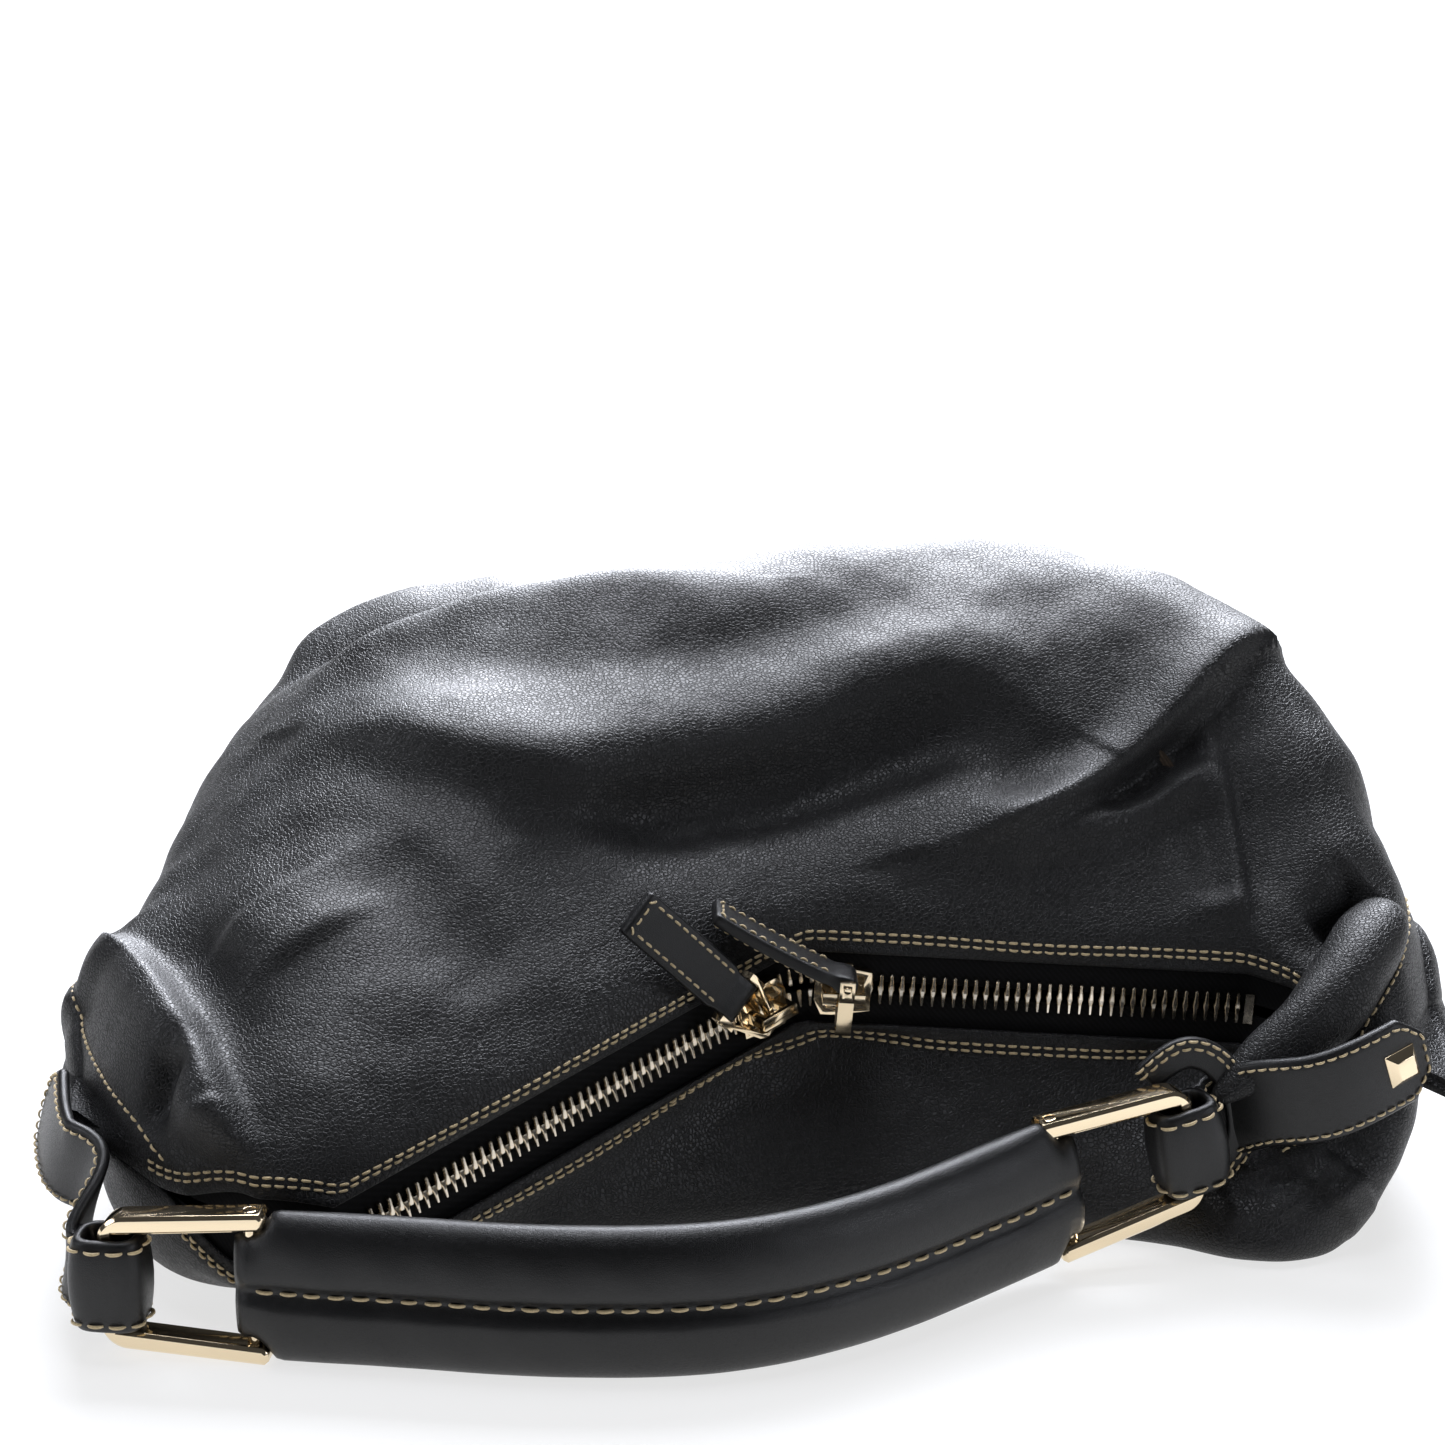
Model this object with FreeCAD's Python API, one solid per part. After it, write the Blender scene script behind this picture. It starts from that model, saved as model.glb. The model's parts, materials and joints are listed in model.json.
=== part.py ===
import FreeCAD, Part
import math
import os
from FreeCAD import Matrix, Vector

# Soft black leather hobo bag, lying on its back panel with the zipped mouth towards -Y.
# Millimetres. Origin: centre of the flat patch that the back panel rests on. +Z up.

os.makedirs("parts", exist_ok=True)

# ---- driving dimensions -------------------------------------------------------------
LEATHER = 2.0            # body leather with its backing
LINING = 0.8             # lining cloth
STRIP_HALF = 14.0        # half the flat strip that the zipper is set in
LIP_HALF = 10.5          # half the opening between the two turned leather edges
TAPE_INNER = 1.6         # tape edge from the zipper's centre line
TAPE_OUTER = 13.5
TAPE_DEPTH = 2.9         # middle of the tape below the leather's outer face
TAPE_THICK = 1.0
TOOTH_PITCH = 2.8
TOOTH_THICK = 1.2
CHAIN_START = 4.0        # first tooth from the left end of the left run
TOOTH_REACH = 0.8        # how far a tooth crosses the centre line
TOOTH_OUT = 4.2          # half the chain's width
CHAIN_THICK = 4.4
SLIDER_LEN = 15.0
SLIDER_NOSE_HALF = 7.0
SLIDER_TAIL_HALF = 5.4
PLATE = 1.8
POST_LEN = 4.6           # diamond post that joins a slider's plates at its nose
BRIDGE_HIGH = 7.6
PARTED = 1.75            # how far each row of teeth stands off between the two posts
RING_WIDE = 8.0          # ring section, across the ring's plane
RING_THICK = 4.5         # ring section, in the ring's plane
RING_REACH = 35.75       # keeper bar's middle to the pin
RING_TIP = 4.0           # arm past the pin
PIN_R = 1.8
KEEPER_HIGH = 24.4
KEEPER_LONG = 19.0
KEEPER_DEEP = 16.0
KEEPER_WALL = 3.0
STRAP = 3.0              # thickness of the tabs and of the keepers' necks
NECK_GAP = 6.5           # bare stretch at the swing, where the real strap bends
TAB_WIDE = 24.0
PULL_WIDE = 13.0
PULL_THICK = 3.2
PULL_LONG = 40.0

# Middle of the mouth, left to right. The two long runs between BEND and the run ends
# are straight, so that a slider can travel along them.
BEND = Vector(14, -16, 61.5)
LEFT_RUN_END = Vector(-100, -100.2, 26.9)
RIGHT_RUN_END = Vector(133, -14, 54)
MOUTH_LEFT = [Vector(-152, -83, 37), Vector(-140, -93, 33), Vector(-122, -100.5, 28.5)]
MOUTH_RIGHT = [Vector(150, -22, 51), Vector(163, -32, 48)]

# Body sections across X. Each is a closed outline in Y and Z: the mouth's middle and
# half the strip there come first, then slope, crest, shoulder, far edge, the two ends
# of the resting line, and the low front.
SECTIONS = [
    (-173, (-44, 42), 5, [(-38, 52), (-26, 57), (-6, 57), (12, 46), (2, 33), (-22, 28), (-40, 31)]),
    (-166, (-62, 40), 8, [(-46, 60), (-14, 68), (20, 68), (50, 50), (30, 12), (-20, 6), (-56, 20)]),
    (-150, (-84, 36), 11, [(-58, 68), (10, 88), (78, 98), (112, 56), (92, -4), (-46, -4), (-76, 10)]),
    (-118, (-100, 28), 14, [(-64, 76), (15, 114), (108, 122), (148, 62), (120, -4), (-60, -4), (-92, 10)]),
    (-78, None, 14, [(-48, 86), (28, 134), (112, 134), (165, 64), (138, -4), (-55, -4), (-82, 10)]),
    (-36, None, 14, [(-16, 98), (42, 145), (118, 138), (172, 65), (146, -4), (-40, -4), (-60, 12)]),
    (14, None, 14, [(14, 110), (60, 152), (122, 141), (175, 65), (150, -4), (-26, -4), (-36, 16)]),
    (58, None, 14, [(16, 112), (66, 154), (124, 142), (174, 65), (150, -4), (-28, -4), (-36, 16)]),
    (98, None, 14, [(16, 106), (60, 149), (118, 135), (168, 64), (142, -4), (-34, -4), (-40, 14)]),
    (132, None, 13, [(10, 97), (48, 135), (102, 122), (150, 60), (125, -4), (-46, -4), (-54, 14)]),
    (156, (-27, 50), 9, [(-6, 84), (32, 112), (78, 104), (118, 54), (96, -4), (-40, -4), (-48, 16)]),
    (173, (-30, 47), 7, [(-16, 70), (14, 88), (52, 82), (84, 50), (60, 6), (-10, 6), (-36, 22)]),
    (184, (-6, 47), 5, [(0, 58), (14, 64), (34, 62), (46, 48), (36, 34), (12, 30), (-4, 36)]),
]
REST_Z = 0.0

# Handle: keeper bars, ring pins and the grip's middle line
BAR_LEFT = Vector(-157, -106, 20.4)
TOWARDS_BAR_LEFT = Vector(-0.993, 0.118, 0)
BAR_RIGHT = Vector(114, -52, 32)
TOWARDS_BAR_RIGHT = Vector(0.93, 0.30, 0.20)
GRIP_LINE = [(-85, -114.5, 20.4), (-60, -118.3, 20.4), (-36, -119.8, 20.4), (-12, -118.2, 20.4),
             (12.5, -110.5, 20.6), (37.5, -95.5, 21.2), (58.5, -79.5, 22.6)]
GRIP_HALF = 20.0
GRIP_END_HALF = 14.2
GRIP_HOLE_PLAY = 1.0     # the soft grip gives here; its right hole is oversize instead
SWING_LEFT = Vector(-161, -86, 33)
SWING_RIGHT = Vector(131, -42, 40)
TAB_LEFT = [Vector(-165, -81.0, 34.2), Vector(-173, -72, 36.5), Vector(-178.5, -59, 40), Vector(-181, -44, 43)]
TAB_RIGHT = [Vector(133.5, -46, 40.5), Vector(146, -52, 44.5), Vector(160, -51, 49.5), Vector(176, -43, 55)]

SLIDER_AT = {"left": -13.0, "right": 11.5}   # middle of each slider from the bend, along its run
LINK_TURN = math.radians(30)                 # left link, turned about the bridge's outer leg


# ---- frames and helpers -------------------------------------------------------------
def unit(v):
    return v * (1.0 / v.Length)


def frame(origin, along):
    """Right-handed frame: x along, y as near +Z as it can be, z = outwards."""
    u = unit(along)
    w = unit(Vector(0, 0, 1) - u * u.z)
    return origin, u, w, u.cross(w)


def at(fr, x, y, z):
    o, u, w, n = fr
    return o + u * x + w * y + n * z


def turned(fr, x, y, angle):
    """The frame moved to (x, y) and turned about its z axis."""
    o, u, w, n = fr
    c = math.cos(angle)
    s = math.sin(angle)
    return at(fr, x, y, 0), u * c + w * s, w * c - u * s, n


def place(shape, fr):
    o, u, w, n = fr
    m = Matrix(u.x, w.x, n.x, o.x, u.y, w.y, n.y, o.y, u.z, w.z, n.z, o.z, 0, 0, 0, 1)
    return shape.transformed(m)


def box(x0, x1, y0, y1, z0, z1):
    return Part.makeBox(x1 - x0, y1 - y0, z1 - z0, Vector(x0, y0, z0))


def prism(points, z0, z1):
    """Upright prism on a polygon in x and y."""
    wire = Part.makePolygon([Vector(x, y, z0) for x, y in points + points[:1]])
    return Part.Face(wire).extrude(Vector(0, 0, z1 - z0))


def ruled(rings):
    """Solid through closed polygons with the same number of corners."""
    wires = [Part.makePolygon(r + r[:1]) for r in rings]
    return Part.makeLoft(wires, True, True)


def smooth(rings):
    """Solid through closed smooth outlines, all spaced by the mean gap between their points."""
    count = len(rings[0])
    gaps = [sum(math.sqrt(r[i].distanceToPoint(r[(i + 1) % count])) for r in rings) for i in range(count)]
    steps = [sum(gaps[:i]) / sum(gaps) for i in range(count + 1)]
    wires = []
    for r in rings:
        c = Part.BSplineCurve()
        c.interpolate(Points=r, Parameters=steps, PeriodicFlag=True)
        wires.append(Part.Wire([c.toShape()]))
    return Part.makeLoft(wires, True, False)


def main_piece(shape):
    return max(shape.Solids, key=lambda s: s.Volume)


def save(name, shape):
    shape.exportStep("parts/" + name + ".step")
    print(name, "valid" if shape.isValid() else "NOT VALID", len(shape.Solids), round(shape.Volume, 1))


LEFT_RUN = frame(BEND, BEND - LEFT_RUN_END)
RIGHT_RUN = frame(BEND, RIGHT_RUN_END - BEND)


# ---- mouth --------------------------------------------------------------------------
def mouth_stops():
    """Frames along the mouth, left to right. Both ends of a straight run share its frame."""
    left = MOUTH_LEFT + [LEFT_RUN_END]
    stops = []
    for i, p in enumerate(MOUTH_LEFT):
        before = left[max(i - 1, 0)]
        stops.append(frame(p, unit(left[i + 1] - p) + unit(left[i + 1] - before)))
    stops.append((LEFT_RUN_END,) + LEFT_RUN[1:])
    stops.append((at(LEFT_RUN, -2, 0, 0),) + LEFT_RUN[1:])
    stops.append((at(RIGHT_RUN, 2, 0, 0),) + RIGHT_RUN[1:])
    stops.append((RIGHT_RUN_END,) + RIGHT_RUN[1:])
    right = [RIGHT_RUN_END] + MOUTH_RIGHT
    for i, p in enumerate(MOUTH_RIGHT):
        after = right[min(i + 2, len(right) - 1)]
        stops.append(frame(p, unit(p - right[i]) + unit(after - right[i])))
    return stops


STOPS = mouth_stops()


def ribbon(w0, w1, n0, n1):
    """Band that follows the mouth, between two offsets across and two in depth."""
    return ruled([[at(s, 0, w0, n0), at(s, 0, w1, n0), at(s, 0, w1, n1), at(s, 0, w0, n1)] for s in STOPS])


def mouth_middle(x):
    """Middle of the mouth at a station along X."""
    points = [s[0] for s in STOPS]
    for a, b in zip(points, points[1:]):
        if a.x <= x <= b.x:
            return a + (b - a) * ((x - a.x) / (b.x - a.x))


# ---- body ---------------------------------------------------------------------------
def outline(section, inset):
    """Points round one section, moved inwards by inset."""
    x, middle, half, points = section
    if middle is None:
        m = mouth_middle(x)
        middle = (m.y, m.z)
    lower = (middle[0], middle[1] - half)
    upper = (middle[0], middle[1] + half)
    loop = [upper] + points + [lower]
    moved = []
    for i, (y, z) in enumerate(loop):
        y0, z0 = loop[i - 1]
        y1, z1 = loop[(i + 1) % len(loop)]
        length = math.hypot(y1 - y0, z1 - z0)
        moved.append((y - (z0 - z1) / length * inset, z - (y1 - y0) / length * inset))
    return moved


def hull(inset):
    """The bag's outer solid, moved inwards by inset and cut flat where it rests."""
    first = SECTIONS[0][0]
    last = SECTIONS[-1][0]
    centre = (first + last) / 2
    shrink = 1 - inset / (last - centre)
    rings = []
    for section in SECTIONS:
        x = centre + (section[0] - centre) * shrink
        rings.append([Vector(x, y, z) for y, z in outline(section, inset)])
    body = smooth(rings)
    floor = box(-250, 250, -200, 300, -60, REST_Z + inset)
    return body.cut(floor)


def above_seam():
    """Everything over the seam that joins the front panel to the back panel."""
    profile = [(-170, 0.0), (-16, 61.5), (20, 66), (220, 62), (220, 260), (-170, 260)]
    wire = Part.makePolygon([Vector(-250, y, z) for y, z in profile + profile[:1]])
    return Part.Face(wire).extrude(Vector(500, 0, 0))


# ---- zipper -------------------------------------------------------------------------
def tape(side):
    a = TAPE_INNER * side
    b = TAPE_OUTER * side
    half = TAPE_THICK / 2
    return ribbon(min(a, b), max(a, b), -TAPE_DEPTH - half, -TAPE_DEPTH + half)


def rabbet(side):
    """Cleared band behind a lip, where the tape lies against the leather."""
    a = (LIP_HALF - 2.5) * side
    b = (TAPE_OUTER + 0.7) * side
    return ribbon(min(a, b), max(a, b), -16, -TAPE_DEPTH + TAPE_THICK / 2 + 0.15)


def tooth(side):
    """One cast tooth: a head that crosses the middle and two legs clamped on the tape."""
    top = CHAIN_THICK / 2
    gap = TAPE_THICK / 2 + 0.05
    neck = TAPE_INNER - 0.1
    profile = [(-TOOTH_REACH, -top), (TOOTH_OUT, -top), (TOOTH_OUT, -gap), (neck, -gap),
               (neck, gap), (TOOTH_OUT, gap), (TOOTH_OUT, top), (-TOOTH_REACH, top)]
    points = [Vector(-TOOTH_THICK / 2, w * side, n - TAPE_DEPTH) for w, n in profile]
    face = Part.Face(Part.makePolygon(points + points[:1]))
    return face.extrude(Vector(TOOTH_THICK, 0, 0))


def chain_frames(offset):
    """A frame for every tooth along the two straight runs, a pitch apart."""
    frames = []
    carried = CHAIN_START + offset
    for a, b in zip(STOPS[3:6], STOPS[4:7]):
        length = (b[0] - a[0]).Length
        while carried < length:
            t = carried / length
            mix = a[1] * (1 - t) + b[1] * t
            frames.append(frame(a[0] + (b[0] - a[0]) * t, mix))
            carried += TOOTH_PITCH
        carried -= length
    return frames


def is_parted(point):
    """True between the two sliders' posts, where the chain is held open."""
    gap = (point - BEND).Length
    slider_side = "right" if point.x > BEND.x else "left"
    return gap < abs(SLIDER_AT[slider_side]) - SLIDER_LEN / 2 + POST_LEN + TOOTH_THICK / 2


def teeth(side):
    one = tooth(side)
    offset = 0.0 if side > 0 else TOOTH_PITCH / 2
    shapes = []
    for f in chain_frames(offset):
        spread = PARTED * side if is_parted(f[0]) else 0
        shapes.append(place(one, turned(f, 0, spread, 0)))
    return Part.makeCompound(shapes)


def end_stops():
    """A bar across the chain at each end of the zipper."""
    first = chain_frames(0)[0]
    last = chain_frames(TOOTH_PITCH / 2)[-1]
    top = CHAIN_THICK / 2
    bar = box(-1.2, 1.2, -TOOTH_OUT, TOOTH_OUT, -top - TAPE_DEPTH, top - TAPE_DEPTH)
    slot = box(-2, 2, -20, 20, -TAPE_DEPTH - 0.55, -TAPE_DEPTH + 0.55)
    middle = box(-2, 2, -1.5, 1.5, -TAPE_DEPTH - 0.6, -TAPE_DEPTH + 0.6)
    bar = bar.cut(slot.cut(middle))
    return Part.makeCompound([place(bar, turned(first, -3.4, 0, 0)), place(bar, turned(last, 3.4, 0, 0))])


def slider(sign):
    """Slider with its tail towards sign * x: two plates, flanges, post and bridge."""
    top = -TAPE_DEPTH + CHAIN_THICK / 2 + 0.3
    bottom = -TAPE_DEPTH - CHAIN_THICK / 2 - 0.3
    nose = -SLIDER_LEN / 2
    tail = SLIDER_LEN / 2
    plan = [(nose + 2, -SLIDER_NOSE_HALF), (nose + 5, -SLIDER_NOSE_HALF), (tail, -SLIDER_TAIL_HALF),
            (tail, SLIDER_TAIL_HALF), (nose + 5, SLIDER_NOSE_HALF), (nose + 2, SLIDER_NOSE_HALF),
            (nose, 3.0), (nose, -3.0)]
    upper = prism(plan, top, top + PLATE)
    recess = prism([(x * 0.74, y * 0.74) for x, y in plan], top + PLATE - 0.5, top + PLATE + 1)
    upper = upper.cut(recess)
    lower = prism(plan, bottom - PLATE, bottom)
    solids = [upper, lower]
    rim = prism(plan, bottom, top).cut(prism([(x * 1.3, y - math.copysign(0.9, y)) for x, y in plan], bottom - 1, top + 1))
    for z0, z1 in ((bottom, -TAPE_DEPTH - 0.8), (-TAPE_DEPTH + 0.8, top)):
        solids.append(rim.common(box(-20, 20, -20, 20, z0, z1)))
    post = [(nose, -0.5), (nose + POST_LEN, -0.3), (nose + POST_LEN, 0.3), (nose, 0.5)]
    post = [post[0], (nose + POST_LEN / 2, -0.9)] + post[1:3] + [(nose + POST_LEN / 2, 0.9)] + post[3:]
    solids.append(prism(post, bottom, top))
    deck = top + PLATE - 0.5
    for x in (-4.5, 4.5):
        solids.append(box(x - 1.1, x + 1.1, -1.6, 1.6, deck, deck + BRIDGE_HIGH))
    solids.append(box(-5.6, 5.6, -1.6, 1.6, deck + BRIDGE_HIGH - 1.5, deck + BRIDGE_HIGH))
    body = solids[0].multiFuse(solids[1:])
    if sign < 0:
        body = body.mirror(Vector(0, 0, 0), Vector(1, 0, 0))
    return body


def shield(half_top, half_low, high, wall):
    """Open shield outline as a band: flat top at y = 0, narrowing to y = -high."""
    outer = [(-half_top, 0), (-half_low, -high + 2), (-half_low + 2, -high), (half_low - 2, -high),
             (half_low, -high + 2), (half_top, 0)]
    inner = [(-half_top + wall * 1.1, -wall), (-half_low + wall, -high + 2.4), (-half_low + 2.4, -high + wall),
             (half_low - 2.4, -high + wall), (half_low - wall, -high + 2.4), (half_top - wall * 1.1, -wall)]
    return outer, inner


def link():
    """Flat-strip puller link, 4 mm deep, open at the top where the pin closes it."""
    outer, inner = shield(7.7, 3.6, 15.0, 1.2)
    band = prism(outer, -2, 2).cut(prism(inner, -3, 3))
    gap = box(-6.4, 6.4, -2.6, 1, -3, 3)
    ears = band.cut(gap)
    for x in (-7.7, 5.9):
        ears = ears.fuse(box(x, x + 1.8, -3.4, 2.2, -2, 2))
    hole = Part.makeCylinder(1.03, 30, Vector(-15, 0, 0), Vector(1, 0, 0))
    return ears.cut(hole)


def link_pin():
    return Part.makeCylinder(1.0, 16.2, Vector(-8.1, 0, 0), Vector(1, 0, 0))


def leather_pull(bore=1.05):
    """Two layers of leather folded round the pin. The pin is along x, the pull along +y."""
    half = 5.75
    wide = PULL_WIDE / 2
    r = 2.6
    loop = Part.makeCylinder(r, 2 * half, Vector(-half, 0, 0), Vector(1, 0, 0))
    neck = box(-half, half, 0, 6.5, -PULL_THICK / 2, PULL_THICK / 2)
    blade = prism([(-half, 5), (-wide, 7), (-wide, PULL_LONG), (wide, PULL_LONG), (wide, 7), (half, 5)],
                  -PULL_THICK / 2, PULL_THICK / 2)
    hole = Part.makeCylinder(bore, 30, Vector(-15, 0, 0), Vector(1, 0, 0))
    return loop.fuse(neck).fuse(blade).cut(hole)


# Left link: flat over the slider, turned about the bridge's outer leg.
# Right link: square to its run, with the pin pointing outwards.
LINK_LEVEL = 4.6


def left_link_frame():
    leg = SLIDER_AT["left"] - 4.5
    lifted = (at(LEFT_RUN, leg, 0, LINK_LEVEL),) + LEFT_RUN[1:]
    base = turned(lifted, 0, 0, LINK_TURN)
    return at(base, 0, 10.5, 0), base[1], base[2], base[3]


def right_link_frame():
    o, u, w, n = RIGHT_RUN
    return at(RIGHT_RUN, SLIDER_AT["right"], 6.5, 10.6), n, w, u * -1


def pull_frame(link_fr, along):
    """Pull on the link's pin: x is the pin, y is the direction asked for, made square to it."""
    o, pin, w, n = link_fr
    y = unit(along - pin * along.dot(pin))
    return o, pin, y, pin.cross(y)


LEFT_PULL_ALONG = Vector(-0.744, -0.33, 0.662)
RIGHT_PULL_ALONG = Vector(-0.874, 0.0, 0.486)


# ---- handle -------------------------------------------------------------------------
def ring_frame(bar, towards_bar):
    """Frame on a ring's bar: x from the bar to the pin, y up the bar, z across the ring."""
    d = unit(towards_bar) * -1
    up = unit(Vector(0, 0, 1) - d * d.z)
    return bar, d, up, d.cross(up)


RING_LEFT = ring_frame(BAR_LEFT, TOWARDS_BAR_LEFT)
RING_RIGHT = ring_frame(BAR_RIGHT, TOWARDS_BAR_RIGHT)


def arm_half(x, base):
    """Half height of the ring, which opens from the bar to the pin."""
    return base + (x / RING_REACH) * 2.7


def ring():
    """U-shaped ring of flat bar: closed at the keeper, open at the grip."""
    t = RING_THICK
    tip = RING_REACH + RING_TIP
    half = KEEPER_HIGH / 2 + 0.6
    outer = half + t
    plan = [(-t / 2, -outer), (tip, -arm_half(tip, outer)), (tip, -arm_half(tip, half)), (t / 2, -half),
            (t / 2, half), (tip, arm_half(tip, half)), (tip, arm_half(tip, outer)), (-t / 2, outer)]
    bar = prism(plan, -RING_WIDE / 2, RING_WIDE / 2)
    corners = [e for e in bar.Edges if is_upright(e) and e.Vertexes[0].X < 0]
    bar = bar.makeFillet(7.0, corners)
    tips = [e for e in bar.Edges if is_upright(e) and e.Vertexes[0].X > tip - 0.1]
    bar = bar.makeChamfer(1.2, tips)
    rims = [e for e in bar.Edges if abs(abs(e.CenterOfMass.z) - RING_WIDE / 2) < 0.01]
    bar = bar.makeChamfer(0.9, rims)
    hole = Part.makeCylinder(PIN_R + 0.03, 60, Vector(RING_REACH, -30, 0), Vector(0, 1, 0))
    return bar.cut(hole)


def is_upright(e):
    a, b = e.Vertexes[0].Point, e.Vertexes[-1].Point
    return abs(a.x - b.x) < 1e-6 and abs(a.y - b.y) < 1e-6


def ring_pin():
    """Pin through both arms and the grip's end, with a low head on each side."""
    reach = arm_half(RING_REACH, KEEPER_HIGH / 2 + 0.6) + RING_THICK
    pin = Part.makeCylinder(PIN_R, 2 * reach, Vector(RING_REACH, -reach, 0), Vector(0, 1, 0))
    return pin


def keeper(neck_to, fr):
    """Leather loop round the ring's bar, with a neck back to the tab."""
    a = KEEPER_LONG / 2
    b = KEEPER_DEEP / 2
    high = KEEPER_HIGH / 2

    def track(grow):
        rounding = 4.0 + grow
        x = a + grow
        z = b + grow
        solid = Part.makeBox(2 * x, 2 * high, 2 * z, Vector(-x, -high, -z))
        edges = [e for e in solid.Edges if abs(e.Vertexes[0].Y - e.Vertexes[-1].Y) > 1]
        return solid.makeFillet(rounding, edges)
    outer = track(0)
    hole = track(-KEEPER_WALL)
    o, d, up, across = fr
    loop = place(outer.cut(hole), fr)
    start = at(fr, -a * 0.55, 0, -b + 0.6)
    middle = unit(neck_to - start)
    side = unit(up.cross(middle)) * (STRAP / 2)
    rise = up * (high - 0.4)
    finish = neck_to - middle * NECK_GAP
    neck = ruled([[p - rise - side, p + rise - side, p + rise + side, p - rise + side] for p in (start, finish)])
    solid_loop = place(track(-0.4), fr)
    neck = neck.cut(solid_loop)
    joined = loop.fuse(neck)
    return joined


def grip_stations():
    """Frames along the grip from pin to pin: z is across the grip, y up it."""
    a = at(RING_LEFT, RING_REACH, 0, 0)
    b = at(RING_RIGHT, RING_REACH, 0, 0)
    points = [a + unit(RING_LEFT[1]) * 6.0] + [Vector(*p) for p in GRIP_LINE] + [b + unit(RING_RIGHT[1]) * 6.0]
    up_a = RING_LEFT[2]
    up_b = RING_RIGHT[2]
    stations = []
    for i, p in enumerate(points):
        t = i / (len(points) - 1.0)
        if i == 0:
            along = RING_LEFT[1]
        elif i == len(points) - 1:
            along = RING_RIGHT[1] * -1
        else:
            along = points[i + 1] - points[i - 1]
        u = unit(along)
        lean = max(0.0, (t - 0.55) / 0.45)
        up = up_a * (1 - lean) + up_b * lean
        up = unit(up - u * u.dot(up))
        stations.append((p, u, up, u.cross(up)))
    return stations


def grip_ring(fr, half, deep, valley):
    """Two padded lobes with a stitched valley between them."""
    side = [(0, valley), (0.3, deep * 0.82), (0.58, deep), (0.85, deep * 0.72)]
    up = [(half * y, z) for y, z in side] + [(half, 0)]
    pts = up + [(y, -z) for y, z in reversed(up[1:-1])] + [(0, -valley)]
    pts += [(-y, -z) for y, z in up[1:-1]] + [(-half, 0)] + [(-y, z) for y, z in reversed(up[1:-1])]
    return [at(fr, 0, y, z) for y, z in pts]


def grip():
    """Leather grip: a padded body and two flat tongues that take the ring pins."""
    stations = grip_stations()
    body = smooth([grip_ring(s, GRIP_HALF - 0.2, 7.8, 5.6) for s in stations])
    solids = [body]
    for fr in (RING_LEFT, RING_RIGHT):
        tongue = box(RING_REACH - 4.2, RING_REACH + 11, -GRIP_END_HALF, GRIP_END_HALF, -4.9, 4.9)
        ends = [e for e in tongue.Edges if is_high(e) and e.Vertexes[0].X < RING_REACH]
        solids.append(place(tongue.makeFillet(4.0, ends), fr))
    whole = solids[0].multiFuse(solids[1:])
    for fr, clearance in ((RING_LEFT, 0.05), (RING_RIGHT, GRIP_HOLE_PLAY)):
        hole = Part.makeCylinder(PIN_R + clearance, 60, Vector(RING_REACH, -30, 0), Vector(0, 1, 0))
        whole = whole.cut(place(hole, fr))
    return whole


def is_high(e):
    return abs(e.Vertexes[0].Y - e.Vertexes[-1].Y) > 1


def grip_cores():
    """Round cord filling inside each lobe of the grip."""
    cores = []
    for side in (-1, 1):
        rings = []
        for s in grip_stations()[1:-1]:
            turn = [2 * math.pi * i / 8 for i in range(8)]
            rings.append([at(s, 0, side * 11.2 + 4.6 * math.cos(a), 4.6 * math.sin(a)) for a in turn])
        cores.append(smooth(rings))
    return Part.makeCompound(cores)


# ---- tabs ---------------------------------------------------------------------------
def tab(points, lean):
    """Strap from the keeper's neck along the side seam, with a pointed end."""
    rings = []
    count = len(points)
    for i, p in enumerate(points):
        before = points[max(i - 1, 0)]
        after = points[min(i + 1, count - 1)]
        u = unit(after - before)
        up = unit(lean - u * u.dot(lean))
        out = unit(u.cross(up)) * (STRAP / 2)
        half = TAB_WIDE / 2
        rings.append([p - up * half - out, p + up * half - out, p + up * half + out, p - up * half + out])
    strap = ruled(rings)
    tip_u = unit(points[-1] - points[-2])
    up = unit(lean - tip_u * tip_u.dot(lean))
    fr = (points[-1], tip_u, up, tip_u.cross(up))
    for side in (-1, 1):
        corner = prism([(-7, side * 14), (2, side * 14), (2, side * 4)], -6, 6)
        strap = strap.cut(place(corner, fr))
    return strap, fr


def stud(fr, back):
    """Square faceted stud, its shank through the strap."""
    spot = (at(fr, -back, 0, 0),) + fr[1:]
    s = 4.6
    low = STRAP / 2 + 0.02
    head = ruled([[Vector(x * k, y * k, z) for x, y in ((-s, -s), (s, -s), (s, s), (-s, s))]
                  for k, z in ((1.0, low), (1.0, low + 1.0), (0.55, low + 3.2))])
    shank = Part.makeCylinder(1.5, STRAP + 0.02, Vector(0, 0, -STRAP / 2))
    return place(head.fuse(shank), spot), place(Part.makeCylinder(1.53, 20, Vector(0, 0, -10)), spot)


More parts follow.
